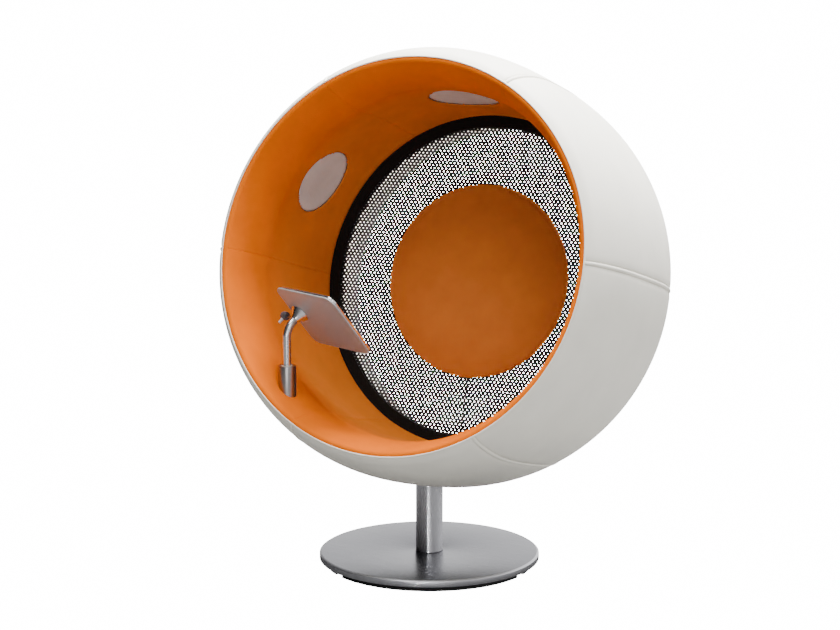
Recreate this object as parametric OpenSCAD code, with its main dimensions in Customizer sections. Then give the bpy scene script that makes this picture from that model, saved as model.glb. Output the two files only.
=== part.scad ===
// Pod chair: a ball-shaped listening chair on a swivel stand, with a padded
// lining, a rear net that carries a round back pad, three loudspeakers and a
// touch screen on a swinging arm. Millimetres, +Z up, the opening faces -Y.
// The origin is on the stand's axis at floor level.
// Pod stations: s runs along the pod's own axis from its centre, towards the
// opening, and r is the distance from that axis.

/* [Pod outside] */
// Lean of the pod's axis: the opening looks up by this angle
pod_tilt = 15.65; // [10:0.05:18]
// Largest outer radius of the pod
pod_r = 715.5; // [700:0.5:735]
// How far behind the centre the pod is widest, over its radius
peak_back_share = 0.13976; // [0.11:0.00001:0.17]
// Length in which the front half would close, over the radius
front_run_share = 0.77009; // [0.74:0.00001:0.81]
// Length in which the rear half would close, over the radius
rear_run_share = 0.8819; // [0.865:0.00001:0.92]
// Station of the front rim ahead of the centre, over the radius
rim_share = 0.33962; // [0.33:0.00001:0.35]
// Station at which the outside starts to turn over the front edge, over the radius
shoulder_share = 0.30119; // [0.285:0.00001:0.308]
// Radius of that turn, over the pod's radius
shoulder_turn_share = 0.08665; // [0.07:0.00001:0.098]
// How far behind the centre the rear lip starts to roll, over the radius
roll_back_share = 0.8218; // [0.81:0.00001:0.827]
// Radius of the rear lip
roll_r = 12; // [10:0.5:14]
// Turn of the six seams about the pod's axis
seam_turn = 1.8; // [0:0.1:4]

/* [Pod layers] */
// Thickness of the leather cover with its wadding
cover_t = 5; // [4:0.5:7]
// Thickness of the moulded outer shell
shell_t = 12; // [9:0.5:14]
// Thickness of the moulded inner shell
inner_shell_t = 8; // [6:0.5:9]
// Thickness of the lining's foam and cloth
foam_t = 38; // [30:1:42]
// Width of the raised strip over each outer seam
strip_w = 15; // [10:0.5:20]
// How far that strip stands out
strip_rise = 1.4; // [0.6:0.1:2.5]
// Thickness of the front and rear hoops
hoop_t = 20; // [14:1:22]
// Radial depth of the front hoop
hoop_w = 24; // [20:1:27]

/* [Pod inside] */
// Depth of the whole wall at the lining's narrow neck
neck_wall = 135.5; // [129.5:0.5:141.5]
// Station of the neck, over the pod's radius
neck_share = 0.06988; // [0.056:0.00001:0.098]
// Depth of the whole wall where the lining is widest
belly_wall = 127.5; // [121.5:0.5:133.5]
// How far behind the centre the lining is widest, over the pod's radius
belly_back_share = 0.18169; // [0.154:0.00001:0.21]
// Radius of the lining's lip
lip_r = 12; // [10:0.5:16]
// Diameter of the piping between lining and cover
welt_d = 5; // [4:0.5:7]
// How far behind the centre the net's clamp ring lies, over the pod's radius
ring_back_share = 0.53641; // [0.524:0.00001:0.548]
// Depth of the whole wall at the clamp ring
ring_wall = 145.9; // [141.5:0.1:151.5]
// Width of the clamp ring inside the lining
ring_w = 35.4; // [30:0.2:44]

/* [Net and back pad] */
// Thickness of the clamp ring
ring_t = 8; // [6:0.5:10]
// Thickness of the net
net_t = 2; // [1.5:0.5:4]
// Spacing of the net's gaps along a row
net_pitch = 50; // [46:1:60]
// Spacing of the net's rows
net_row = 36; // [34:1:44]
// Diameter of a gap
net_gap_d = 30; // [24:1:32]
// Thickness of the rear bulkhead
bulkhead_t = 16; // [12:1:20]
// Number of clamp ring screws
ring_screw_count = 12; // [8:1:16]
// Shank diameter of those screws
ring_screw_d = 6; // [5:0.5:8]
// Radius of the back pad
pad_r = 334; // [320:1:345]
// Thickness of the pad at its edge
pad_edge_t = 26; // [20:1:32]
// How far the pad's face crowns
pad_crown = 20; // [12:1:28]
// Thickness of the board in the pad
pad_board_t = 6; // [4:0.5:8]
// Depth of the cover behind the net
pad_back_d = 44; // [40:1:52]
// Diameter of a sound exciter
exciter_d = 100; // [80:1:120]
// Diameter of the pad's lead
lead_d = 6; // [5:0.5:8]

/* [Loudspeakers] */
// Diameter of the speaker windows
window_d = 238; // [210:1:244]
// How far behind the centre the windows lie, over the pod's radius
window_back_share = 0.19567; // [0.168:0.00001:0.21]
// How far a speaker can stays inside its window all round
can_inset = 7; // [6:0.5:20]
// Wall of the speaker cans
can_wall = 5; // [3:0.5:8]
// Thickness of the cloth grilles
grille_t = 11; // [8:0.5:12]
// Space between a driver and the outer shell
driver_clear = 31.2; // [24:0.1:45]

/* [Amplifier] */
// Width of the amplifier
amp_w = 240; // [180:1:250]
// Length of the amplifier
amp_l = 160; // [120:1:170]
// Space between the amplifier and the inner shell
amp_clear = 5; // [3:0.5:12]
// Station of the amplifier's middle, over the pod's radius
amp_place_share = 0.04892; // [0.028:0.00001:0.07]

/* [Stand] */
// Radius of the base plate
base_r = 366; // [340:1:400]
// Thickness of the base plate
base_t = 24; // [18:1:30]
// Bevel round the base plate's top edge
base_bevel = 7; // [3:0.5:10]
// Height of the feet under the plate
foot_h = 18; // [12:1:24]
// How far the foot arcs stay inside the plate's edge
foot_inset = 23; // [16:1:66]
// Width of a foot arc
foot_w = 20; // [14:1:30]
// Angle between two foot arcs
foot_gap = 7; // [4:1:12]
// Direction of the first gap
foot_turn = -3; // [-20:1:20]
// Diameter of the column
column_d = 90; // [76:1:94]
// Wall of the column
column_wall = 4; // [3:0.5:6]
// Height of the column above the base plate
column_h = 236; // [200:1:280]
// How far the column's top lies above the shell's inside, on the column's axis
column_over = 0.915; // [-1:0.01:2]
// Diameter of the spindle
spindle_d = 35; // [30:0.5:40]
// Bore through the spindle for the lead
spindle_bore = 12; // [8:0.5:16]
// Diameter of the bolts in the base and the hub
bolt_d = 10; // [8:0.5:12]

/* [Arm] */
// Distance of the arm's axis from the pod's middle to the left, over the pod's radius
arm_left_share = 0.5325; // [0.517:0.00001:0.545]
// Distance of the arm's axis ahead of the stand's axis, over the pod's radius
arm_ahead_share = 0.38574; // [0.374:0.00001:0.394]
// Height of the socket's top above the lining
socket_show = 78.2; // [60:0.1:110]
// Height of the socket's foot above the outer shell, on the socket's axis
socket_clear = 37.1; // [20:0.1:60]
// Diameter of the socket
socket_d = 60; // [54:1:64]
// Diameter of the arm's tube
tube_d = 28; // [24:0.5:30]
// Wall of the tube
tube_wall = 2.5; // [2:0.5:3.5]
// Straight length of the tube above the socket
tube_rise = 93.5; // [80:0.5:110]
// Radius of the bend
bend_r = 60; // [50:1:75]
// Angle of the bend, which is also the screen's lean
bend = 50.4; // [42:0.2:56]
// Straight end of the tube past the bend
tube_end = 10; // [4:1:20]
// Direction of the screen's width, from +X
screen_yaw = -23.7; // [-35:0.1:-10]

/* [Screen] */
// Width of the screen
screen_w = 300; // [260:1:310]
// Height of the screen
screen_h = 260; // [230:1:270]
// Thickness of the back plate
back_t = 5; // [4:0.5:7]
// Thickness of the glass front
glass_t = 7; // [5:0.5:9]
// Corner radius of the screen
corner_r = 32; // [20:1:40]
// How far the bell sits left of the screen's middle
bell_left = 104; // [90:1:106]
// How far the bell sits above the screen's middle
bell_up = 18; // [0:1:26]
// Length of the bell
bell_h = 33; // [28:1:38]
// Foot diameter of the bell
bell_d = 68; // [60:1:72]
// Diameter of the spigot that the bell turns on
spigot_d = 16; // [12:0.5:18]
// Distance of the lever's hub from the bell's axis
lever_out = 46; // [42:1:54]
// Diameter of the lever's hub
lever_d = 28; // [22:1:32]
// Length of the lever's hub
lever_l = 24; // [18:1:28]

/* [Hidden] */
$fn = 128;

// Clearances and one overrun for all cuts
gap = 0.3;
run_gap = 0.05;
swing_gap = 2;
tray_gap = 1;
liner_gap = 0.7;
cut = 5;
// Counts of points and panels
panels = 6;
outer_steps = 22;
lining_steps = 16;
arc_steps = 7;
// Slope of the lining where it leaves the lip, and the shape power of the pod
flare_slope = 0.5;
pod_power = 3;
belly_power = 2;

// Places that go with the pod's radius
pod_peak_back = pod_r * peak_back_share;
pod_front_run = pod_r * front_run_share;
pod_rear_run = pod_r * rear_run_share;
rim_s = pod_r * rim_share;
shoulder_s = pod_r * shoulder_share;
shoulder_r = pod_r * shoulder_turn_share;
roll_back = pod_r * roll_back_share;
neck_r = pod_r - neck_wall;
neck_s = pod_r * neck_share;
belly_r = pod_r - belly_wall;
belly_back = pod_r * belly_back_share;
ring_back = pod_r * ring_back_share;
ring_r = pod_r - ring_wall;
ring_inner_r = ring_r - ring_w;
window_back = pod_r * window_back_share;
arm_left = pod_r * arm_left_share;
arm_ahead = pod_r * arm_ahead_share;

// Outer radius of the pod at station s, and its slope there
function run_at(s) = s > -pod_peak_back ? pod_front_run : pod_rear_run;
function share_at(s) = abs(s + pod_peak_back) / run_at(s);
function outer(s) = pod_r * pow(1 - pow(share_at(s), pod_power), 1 / pod_power);
function slope(s) = -sign(s + pod_peak_back) * pod_r / run_at(s)
    * pow(share_at(s), pod_power - 1)
    * pow(1 - pow(share_at(s), pod_power), 1 / pod_power - 1);
// Direction of the outward normal at station s, as an angle from +s
function normal_at(s) = atan2(1, -slope(s));
// Points [r, s] along an arc about [r, s] = c
function arc(c, radius, from, to) = [for (i = [0:arc_steps])
    let (a = from + (to - from) * i / arc_steps)
    [c[0] + radius * sin(a), c[1] + radius * cos(a)]];

// Front edge: the shoulder's arc, from the outer curve to the rim
shoulder_a = normal_at(shoulder_s);
shoulder_c = [outer(shoulder_s) - shoulder_r * sin(shoulder_a),
              shoulder_s - shoulder_r * cos(shoulder_a)];
rim_a = acos((rim_s - shoulder_c[1]) / shoulder_r);
rim_r = shoulder_c[0] + shoulder_r * sin(rim_a);
lip_c = [rim_r - lip_r * sin(rim_a), rim_s - lip_r * cos(rim_a)];
lip_a = atan(flare_slope) - 90;
lip_end_r = lip_c[0] + lip_r * sin(lip_a);
lip_end_s = lip_c[1] + lip_r * cos(lip_a);
flare_power = flare_slope * (lip_end_s - neck_s) / (lip_end_r - neck_r);
// Rear edge: the roll's arc
roll_s = -roll_back;
roll_a = normal_at(roll_s);
roll_c = [outer(roll_s) - roll_r * sin(roll_a), roll_s - roll_r * cos(roll_a)];
// Ends of the outer shell, and the step between its straight facets
shell_rear = roll_c[1] + roll_r / 2 + 2 * gap;
shell_front = shoulder_s - cover_t;
recess_r = roll_c[0] - roll_r + liner_gap;
shell_step = (shell_front - shell_rear) / outer_steps;

// Radius of the lining at station s
ring_s = -ring_back;
belly_s = -belly_back;
function belly_share(s) = s > belly_s ? (s - belly_s) / (neck_s - belly_s)
                                      : (belly_s - s) / (belly_s - ring_s);
function belly_drop(s) = s > belly_s ? belly_r - neck_r : belly_r - ring_r;
function lining(s) = s > neck_s
    ? neck_r + (lip_end_r - neck_r) * pow((s - neck_s) / (lip_end_s - neck_s), flare_power)
    : belly_r - belly_drop(s) * pow(belly_share(s), belly_power);

// Layer radii, from outside to inside
function cover_in(s) = outer(s) - cover_t;
function shell_out(s) = cover_in(s) - gap;
function shell_in(s) = shell_out(s) - shell_t;
function cavity_out(s) = shell_in(s) - gap;
hoop_front = shoulder_s + gap;
hoop_back = hoop_front - hoop_t;
hoop_out = facet_in(hoop_back);
hoop_in = hoop_out - hoop_w;
hoop_edge = rim_r - (cover_t + gap) * sin(rim_a);
hoop_nose = rim_s - (cover_t + gap) * cos(rim_a);
function foam_out(s) = min(lining(s) + foam_t, hoop_in - inner_shell_t - 2 * gap);
function inner_out(s) = foam_out(s) + gap + inner_shell_t;
function cavity_in(s) = inner_out(s) + gap;

// The outer shell's inside, less the gap, on the straight facets of its outline
function facet_in(s) = let (t = (s - shell_rear) / shell_step, k = floor(t))
    cavity_out(shell_rear + k * shell_step) * (1 - t + k)
    + cavity_out(shell_rear + (k + 1) * shell_step) * (t - k);
// The same for the outside of the inner shell
core_step = (hoop_front - ring_s - gap) / lining_steps;
function facet_core(s) = let (t = (s - ring_s - gap) / core_step, k = floor(t))
    cavity_in(ring_s + gap + k * core_step) * (1 - t + k)
    + cavity_in(ring_s + gap + (k + 1) * core_step) * (t - k);

// Stations of the rear pieces
ring_rear = ring_s - ring_t;
net_front = ring_rear - gap;
net_rear = net_front - net_t;
bulkhead_front = net_rear - gap;
bulkhead_rear = bulkhead_front - bulkhead_t;
ring_out_r = ring_r + foam_t * 0.8;

// Points of a curve r = f(s), between two stations
function along(from, to, steps) = [for (i = [0:steps]) from + (to - from) * i / steps];

module pod_frame() translate([0, 0, pod_z]) rotate([90 - pod_tilt, 0, 0]) children();
module sector(i, play) rotate([0, 0, seam_turn + 360 / panels * i + play / 2])
    rotate_extrude(angle = 360 / panels - play) children();
// A solid of revolution inside the outer shell, for trimming what stands on it
module cavity_solid() rotate_extrude() polygon(concat(
    [[0, shell_rear]],
    [for (s = along(shell_rear, shell_front, outer_steps)) if (s < hoop_back - cut) [cavity_out(s), s]],
    [[facet_in(hoop_back - gap), hoop_back - gap], [0, hoop_back - gap]]));
// The space between the two shells
module between_shells() rotate_extrude() polygon(concat(
    [[facet_in(bulkhead_front + gap), bulkhead_front + gap]],
    [for (s = along(shell_rear, shell_front, outer_steps))
        if (s > bulkhead_front + cut && s < hoop_back - cut) [cavity_out(s), s]],
    [[facet_in(hoop_back - gap), hoop_back - gap], [facet_core(hoop_back - gap), hoop_back - gap]],
    [for (s = along(hoop_front, ring_s + gap, lining_steps)) if (s < hoop_back - cut) [cavity_in(s), s]],
    [[cavity_in(ring_s + gap), bulkhead_front + gap]]));

// Height from the pod's centre of its lining (inside) or of the shell's inside, straight below or above
// the point x, y on the pod's lower half, found in a few steps
function fall(x, y, inside, n = 9, z = -pod_r) = n == 0 ? z
    : let (s = z * sin(pod_tilt) - y * cos(pod_tilt), r = inside ? lining(s) : cavity_out(s))
        fall(x, y, inside, n - 1, (-sqrt(r * r - x * x) - y * sin(pod_tilt)) / cos(pod_tilt));
// The column carries the pod: heights of the plate, of the column's top and of the pod's centre
plate_top = foot_h + base_t;
column_top = plate_top + column_h;
pod_z = column_top - column_over - fall(0, 0, false);

// Stand
column_r = column_d / 2;
column_in = column_r - column_wall;
bolt_pcd = column_in * 1.3;
bolt_count = 4;
foot_count = 3;
foot_r = base_r - foot_inset;
bolt_head_r = bolt_d * 0.8;
bolt_head_h = bolt_d * 0.6;
foot_disc_t = bolt_d * 1.5;
cap_t = 16;
collar_t = 4;
bearing_t = 6;
bearing_in = 9;
bearing_r = column_r - bearing_in;
spindle_r = spindle_d / 2;
collar_z = column_top + gap;
bearing_z = collar_z + collar_t + gap;
hub_z = bearing_z + bearing_t + gap;
bush_l = 14;
bush_t = 6;
hub_l = 32;
hub_in = 1;
hub_r = column_r - hub_in;
flange_t = 8;
flange_w = 25;
flange_r = column_r + flange_w;
flange_z = hub_z + bush_l;
nut_h = 8;
nut_r = spindle_r + nut_h;
nut_z = hub_z + hub_l + gap;
spreader_t = 10;
hub_bolt_l = 12;
hub_bolt_r = column_r + flange_w * 0.6;

module bolts_round(pcd, count) for (i = [0:count - 1])
    rotate([0, 0, 360 / count * (i + 0.5)]) translate([pcd / 2, 0, 0]) children();

module base_plate() color("#8C8C90") difference() {
    rotate_extrude() polygon([[0, foot_h], [base_r - base_bevel / 3, foot_h],
        [base_r, foot_h + base_bevel / 3], [base_r, plate_top - base_bevel * 0.6],
        [base_r - base_bevel, plate_top], [0, plate_top]]);
    bolts_round(bolt_pcd, bolt_count) {
        translate([0, 0, foot_h - cut]) cylinder(r = bolt_d / 2 + gap, h = base_t + 2 * cut);
        translate([0, 0, foot_h - cut]) cylinder(r = bolt_head_r + gap, h = bolt_head_h + gap + cut);
    }
    translate([0, 0, foot_h - cut]) cylinder(r = spindle_bore, h = base_t + 2 * cut);
}

module base_feet() color("#1B1B1C") for (i = [0:foot_count - 1])
    rotate([0, 0, foot_turn + foot_gap / 2 + 360 / foot_count * i])
        rotate_extrude(angle = 360 / foot_count - foot_gap)
        translate([foot_r - foot_w, 0]) square([foot_w, foot_h]);

module base_bolts() color("#77777A") bolts_round(bolt_pcd, bolt_count) {
    translate([0, 0, foot_h]) cylinder(r = bolt_head_r, h = bolt_head_h);
    translate([0, 0, foot_h]) cylinder(r = bolt_d / 2, h = base_t + foot_disc_t);
}

module base_grommet() color("#1B1B1C") difference() {
    union() {
        translate([0, 0, foot_h]) cylinder(r = spindle_bore - gap, h = base_t);
        translate([0, 0, foot_h - net_t]) cylinder(r = spindle_bore * 1.3, h = net_t);
    }
    translate([0, 0, foot_h - cut]) cylinder(r = spindle_bore * 0.6, h = base_t + 2 * cut);
}

module column_tube() color("#A9A9AD") translate([0, 0, plate_top]) difference() {
    cylinder(r = column_r, h = column_top - plate_top);
    translate([0, 0, -cut]) cylinder(r = column_in, h = column_top - plate_top + 2 * cut);
}

module column_foot() color("#77777A") difference() {
    translate([0, 0, plate_top]) cylinder(r = column_in - run_gap, h = foot_disc_t + cut);
    bolts_round(bolt_pcd, bolt_count) translate([0, 0, foot_h])
        cylinder(r = bolt_d / 2 + run_gap, h = base_t + foot_disc_t + gap);
    translate([0, 0, plate_top - cut]) cylinder(r = spindle_bore, h = foot_disc_t + 3 * cut);
}

module column_cap() color("#77777A") translate([0, 0, column_top - cap_t]) difference() {
    cylinder(r = column_in - run_gap, h = cap_t);
    translate([0, 0, -cut]) cylinder(r = spindle_r + run_gap, h = cap_t + 2 * cut);
}

module spindle() color("#9A9A9E") difference() {
    union() {
        translate([0, 0, column_top - cap_t]) cylinder(r = spindle_r, h = nut_z + nut_h - column_top + cap_t);
        translate([0, 0, collar_z]) cylinder(r = bearing_r - cut, h = collar_t);
    }
    translate([0, 0, column_top - cap_t - cut])
        cylinder(r = spindle_bore / 2, h = nut_z + nut_h - column_top + cap_t + 2 * cut);
}

module spindle_nut() color("#77777A") translate([0, 0, nut_z]) difference() {
    cylinder(r = nut_r, h = nut_h, $fn = 6);
    translate([0, 0, -cut]) cylinder(r = spindle_r + run_gap, h = nut_h + 2 * cut);
}

module thrust_bearing() color("#B5B5B8") translate([0, 0, bearing_z]) difference() {
    cylinder(r = bearing_r, h = bearing_t);
    translate([0, 0, -cut]) cylinder(r = spindle_r + run_gap, h = bearing_t + 2 * cut);
}

// Swivel, on the pod's side
module bearing_hub() color("#6E6E72") difference() {
    union() {
        translate([0, 0, hub_z]) cylinder(r = hub_r, h = hub_l);
        translate([0, 0, flange_z]) cylinder(r = flange_r, h = flange_t);
    }
    translate([0, 0, hub_z - cut]) cylinder(r = spindle_r + bush_t + run_gap, h = hub_l + 2 * cut);
    bolts_round(2 * hub_bolt_r, bolt_count) translate([0, 0, flange_z - cut])
        cylinder(r = bolt_d / 2 + gap, h = flange_t + 2 * cut);
}

module hub_bushes() color("#D8D2C0") for (z = [hub_z, hub_z + hub_l - bush_l])
    translate([0, 0, z]) difference() {
        cylinder(r = spindle_r + bush_t, h = bush_l);
        translate([0, 0, -cut]) cylinder(r = spindle_r + run_gap, h = bush_l + 2 * cut);
    }

module hub_bolts() color("#77777A") bolts_round(2 * hub_bolt_r, bolt_count) {
    translate([0, 0, flange_z + flange_t]) cylinder(r = bolt_head_r, h = bolt_head_h);
    translate([0, 0, flange_z - hub_bolt_l]) cylinder(r = bolt_d / 2, h = hub_bolt_l + flange_t);
}

// A curved steel plate on the outer shell, with the wedge that levels the hub
module cradle() color("#55555A") difference() {
    union() {
        intersection() {
            pod_frame() difference() {
                cavity_solid();
                rotate_extrude() polygon(concat([[0, shell_rear - cut]],
                    [for (s = along(shell_rear, shell_front, outer_steps))
                        [cavity_out(s) - spreader_t, s]], [[0, shell_front]]));
            }
            cylinder(r = spreader_r, h = flange_z + spreader_r / 2);
        }
        intersection() {
            pod_frame() cavity_solid();
            cylinder(r = flange_r, h = flange_z - gap);
        }
    }
    cylinder(r = column_r + swing_gap, h = flange_z + cut);
    translate([0, 0, flange_z - gap]) cylinder(r = flange_r + 2 * gap, h = spreader_r);
    bolts_round(2 * hub_bolt_r, bolt_count) translate([0, 0, flange_z - hub_bolt_l - gap])
        cylinder(r = bolt_d / 2 + run_gap, h = hub_bolt_l + cut);
}

// Pod structure
module outer_shell() color("#B8A890") difference() {
    pod_frame() rotate_extrude() polygon(concat(
        [for (s = along(shell_rear, shell_front, outer_steps)) [shell_out(s), s]],
        [for (s = along(shell_front, shell_rear, outer_steps)) [shell_in(s), s]]));
    cylinder(r = column_r + 3 * swing_gap, h = pod_z - pod_r / 2);
}

module window_axis(i) rotate([0, 0, seam_turn + 360 / panels * (i - 0.5)])
    translate([0, 0, -window_back]) rotate([0, 90, 0]) children();

socket_top = pod_z + fall(-arm_left, -arm_ahead, true) + socket_show;
socket_foot = pod_z + fall(-arm_left, -arm_ahead, false) + socket_clear;
bend_z = socket_top + tube_rise;
module socket_cut(play) translate([-arm_left, -arm_ahead, socket_foot])
    cylinder(r = socket_d / 2 + play, h = socket_top - socket_foot);

module inner_shell() color("#C4B49A") difference() {
    pod_frame() difference() {
        rotate_extrude() polygon(concat(
            [for (s = along(ring_s + gap, hoop_front, lining_steps)) [inner_out(s), s]],
            [for (s = along(hoop_front, ring_s + gap, lining_steps)) [foam_out(s) + gap, s]]));
        for (i = [1:3]) window_axis(i) cylinder(d = window_d, h = pod_r);
    }
    socket_cut(gap);
}

module front_hoop() color("#C8B48C") pod_frame() rotate_extrude() polygon(concat(
    [[hoop_in, hoop_back], [hoop_out, hoop_back], [cavity_out(shoulder_s), hoop_front]],
    [for (p = arc(shoulder_c, shoulder_r - cover_t - gap, shoulder_a, rim_a)) if (p[1] > hoop_front) p],
    [[hoop_edge, hoop_front], [hoop_in, hoop_front]]));

module rear_hoop() color("#C8B48C") pod_frame() rotate_extrude() polygon([
    [recess_r + cover_t + 2 * gap, shell_rear], [facet_in(shell_rear), shell_rear],
    [facet_in(shell_rear + hoop_t), shell_rear + hoop_t],
    [recess_r + cover_t + 2 * gap, shell_rear + hoop_t]]);

screw_circle = ring_inner_r + (ring_out_r - ring_inner_r) * 0.6;
module ring_screw_places() for (i = [0:ring_screw_count - 1])
    rotate([0, 0, 360 / ring_screw_count * (i + 0.5)]) translate([screw_circle, 0, 0]) children();

module rear_bulkhead() color("#2A2A2C") pod_frame() difference() {
    rotate_extrude() polygon([[ring_inner_r, bulkhead_rear], [facet_in(bulkhead_rear), bulkhead_rear],
        [facet_in(bulkhead_front), bulkhead_front], [ring_inner_r, bulkhead_front]]);
    ring_screw_places() translate([0, 0, bulkhead_rear - cut])
        cylinder(r = ring_screw_d / 2 + gap, h = bulkhead_t + 2 * cut);
}

module recess_liner() color("#DCD8CE") pod_frame() rotate_extrude()
    translate([recess_r, shell_rear]) square([cover_t, bulkhead_rear - shell_rear - gap]);

// Cover: six sewn leather panels, with a raised strip over each seam
strip_a = strip_w / pod_r * 180 / PI;
// A strip ends before the piping: it comes down over this angle, and again this angle before the rim
taper_a = (welt_d / 2 + gap) / shoulder_r * 180 / PI;
function on_shoulder(radius, a) = [shoulder_c[0] + radius * sin(a), shoulder_c[1] + radius * cos(a)];
function cover_outline(rise) = concat(
    arc(roll_c, roll_r + rise, 180 + 90, roll_a),
    [for (s = along(roll_s, shoulder_s, outer_steps)) if (s > roll_s) [outer(s) + rise, s]],
    [for (p = arc(shoulder_c, shoulder_r + rise, shoulder_a, rim_a + 2 * taper_a)) if (p[1] > shoulder_s + gap) p],
    [on_shoulder(shoulder_r, rim_a + taper_a), on_shoulder(shoulder_r, rim_a)],
    arc(shoulder_c, shoulder_r - cover_t, rim_a, shoulder_a),
    [for (s = along(shell_front, shell_rear, outer_steps)) [cover_in(s), s]],
    [[cover_in(shell_rear), shell_rear - gap], [roll_c[0] - roll_r - rise, shell_rear - gap]]);

module column_cut() cylinder(r = column_r + 2 * swing_gap, h = pod_z - pod_r / 2);

module cover_panel(i) color("#E6E3DA") difference() {
    pod_frame() sector(i - 1, strip_a) polygon(cover_outline(0));
    if (i == 5) column_cut();
}

module cover_strips() color("#EEEBE2") pod_frame() for (i = [0:panels - 1])
    rotate([0, 0, seam_turn + 360 / panels * i - strip_a / 2]) rotate_extrude(angle = strip_a)
        polygon(cover_outline(strip_rise));

module front_welt() color("#EFEADF") pod_frame() rotate_extrude()
    translate([rim_r + (welt_d / 2 + gap) * sin(rim_a), rim_s + (welt_d / 2 + gap) * cos(rim_a)])
        circle(d = welt_d);

// Lining: six padded panels that roll over the front edge
lining_play = 0.05;
lip_stop_a = rim_a - gap / lip_r * 180 / PI;
module lining_panel(i) color("#E07B1E") difference() {
    pod_frame() difference() {
        sector(i - 1, lining_play) polygon(concat(
            [for (s = along(ring_s + gap, lip_end_s, lining_steps)) if (s < lip_end_s) [lining(s), s]],
            arc(lip_c, lip_r, lip_a, lip_stop_a),
            [[hoop_edge - 2 * gap, hoop_nose], [hoop_edge - 2 * gap, hoop_front + gap],
             [foam_out(hoop_front), hoop_front + gap]],
            [for (s = along(hoop_front, ring_s + gap, lining_steps)) [foam_out(s), s]]));
        if (i <= 3) window_axis(i) cylinder(d = window_d, h = pod_r);
    }
    if (i == 4) socket_cut(gap);
}

// Rear net and its clamp
module clamp_ring() color("#161617") pod_frame() difference() {
    translate([0, 0, ring_rear]) cylinder(r = ring_out_r, h = ring_t);
    translate([0, 0, ring_rear - cut]) cylinder(r = ring_inner_r, h = ring_t + 2 * cut);
    ring_screw_places() translate([0, 0, ring_rear - cut])
        cylinder(r = ring_screw_d / 2 + run_gap, h = ring_t * 0.75 + cut);
}

net_cols = ceil(ring_inner_r / net_pitch);
net_rows = ceil(ring_inner_r / net_row);
net_far = ring_inner_r - net_gap_d / 2;
net_near = pad_r + net_gap_d / 2;
net_places = [for (j = [-net_rows:net_rows], i = [-net_cols:net_cols])
    let (x = (i + (j % 2 == 0 ? 0 : 0.5)) * net_pitch, y = j * net_row)
    if (norm([x, y]) < net_far && norm([x, y]) > net_near) [x, y]];
pad_bolt_count = 6;
pad_bolt_d = 8;
pad_bolt_circle = pad_r * 0.8;
module pad_bolt_places() for (i = [0:pad_bolt_count - 1])
    rotate([0, 0, 360 / pad_bolt_count * i]) translate([pad_bolt_circle, 0, 0]) children();

module net() color("#141415") pod_frame() translate([0, 0, net_rear]) difference() {
    linear_extrude(net_t) difference() {
        circle(r = ring_out_r);
        for (p = net_places) translate(p) circle(d = net_gap_d, $fn = 24);
    }
    ring_screw_places() translate([0, 0, -cut]) cylinder(r = ring_screw_d / 2 + gap, h = net_t + 2 * cut);
    pad_bolt_places() translate([0, 0, -cut]) cylinder(r = pad_bolt_d / 2 + gap, h = net_t + 2 * cut);
}

module ring_screws() color("#77777A") pod_frame() ring_screw_places() {
    translate([0, 0, bulkhead_rear - ring_screw_d / 2]) cylinder(d = ring_screw_d * 1.8, h = ring_screw_d / 2);
    translate([0, 0, bulkhead_rear]) cylinder(d = ring_screw_d, h = ring_rear + ring_t * 0.7 - bulkhead_rear);
}

// Back pad: a crowned cushion on a board, bolted through the net to a cover
pad_rear = net_front + gap;
pad_widest = pad_rear + pad_edge_t * 0.4;
pad_edge_r = pad_edge_t * 0.6;
pad_steps = 10;
module back_pad() color("#D9741C") pod_frame() difference() {
    rotate_extrude() polygon(concat(
        [[0, pad_rear], [pad_r - pad_edge_r * 0.8, pad_rear], [pad_r - pad_edge_r * 0.25, pad_rear + pad_edge_t * 0.14],
         [pad_r, pad_widest]],
        [for (a = [15:15:75]) [pad_r - pad_edge_r * (1 - cos(a)), pad_widest + pad_edge_r * sin(a)]],
        [for (i = [0:pad_steps]) let (r = (pad_r - pad_edge_r) * (1 - i / pad_steps))
            [r, pad_rear + pad_edge_t + pad_crown * (1 - pow(r / (pad_r - pad_edge_r), 2))]]));
    translate([0, 0, pad_rear - cut]) cylinder(r = pad_r * 0.9 + gap, h = pad_board_t + gap + cut);
}

module pad_board() color("#C8B48C") pod_frame() difference() {
    translate([0, 0, pad_rear]) cylinder(r = pad_r * 0.9, h = pad_board_t);
    pad_bolt_places() translate([0, 0, pad_rear - cut])
        cylinder(r = pad_bolt_d / 2 + run_gap, h = pad_board_t * 0.8 + cut);
}

dish_wall = 4;
dish_r = pad_r * 0.94;
dish_front = net_rear - gap;
dish_rear = dish_front - pad_back_d;
module pad_back() color("#202022") pod_frame() difference() {
    rotate_extrude() polygon(concat([[0, dish_rear]],
        arc([dish_r - pad_edge_t, dish_rear + pad_edge_t], pad_edge_t, 180, 90), [[dish_r, dish_front], [0, dish_front]]));
    rotate_extrude() polygon(concat([[0, dish_rear + dish_wall]],
        arc([dish_r - pad_edge_t, dish_rear + pad_edge_t], pad_edge_t - dish_wall, 180, 90),
        [[dish_r - dish_wall, dish_front + cut], [0, dish_front + cut]]));
    pad_bolt_places() translate([0, 0, dish_rear - cut]) cylinder(d = pad_bolt_d + 2 * gap, h = 2 * cut + dish_wall);
    rotate([0, 0, -90]) translate([0, 0, lead_s]) rotate([0, 90, 0])
        cylinder(d = lead_d + 2 * run_gap, h = pad_r);
}

lead_s = dish_front - lead_d / 2 - gap;
module pad_lead() color("#111112") pod_frame() rotate([0, 0, -90])
    translate([dish_r - dish_wall, 0, lead_s]) rotate([0, 90, 0])
        cylinder(d = lead_d, h = ring_inner_r - dish_r + dish_wall - gap);

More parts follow.
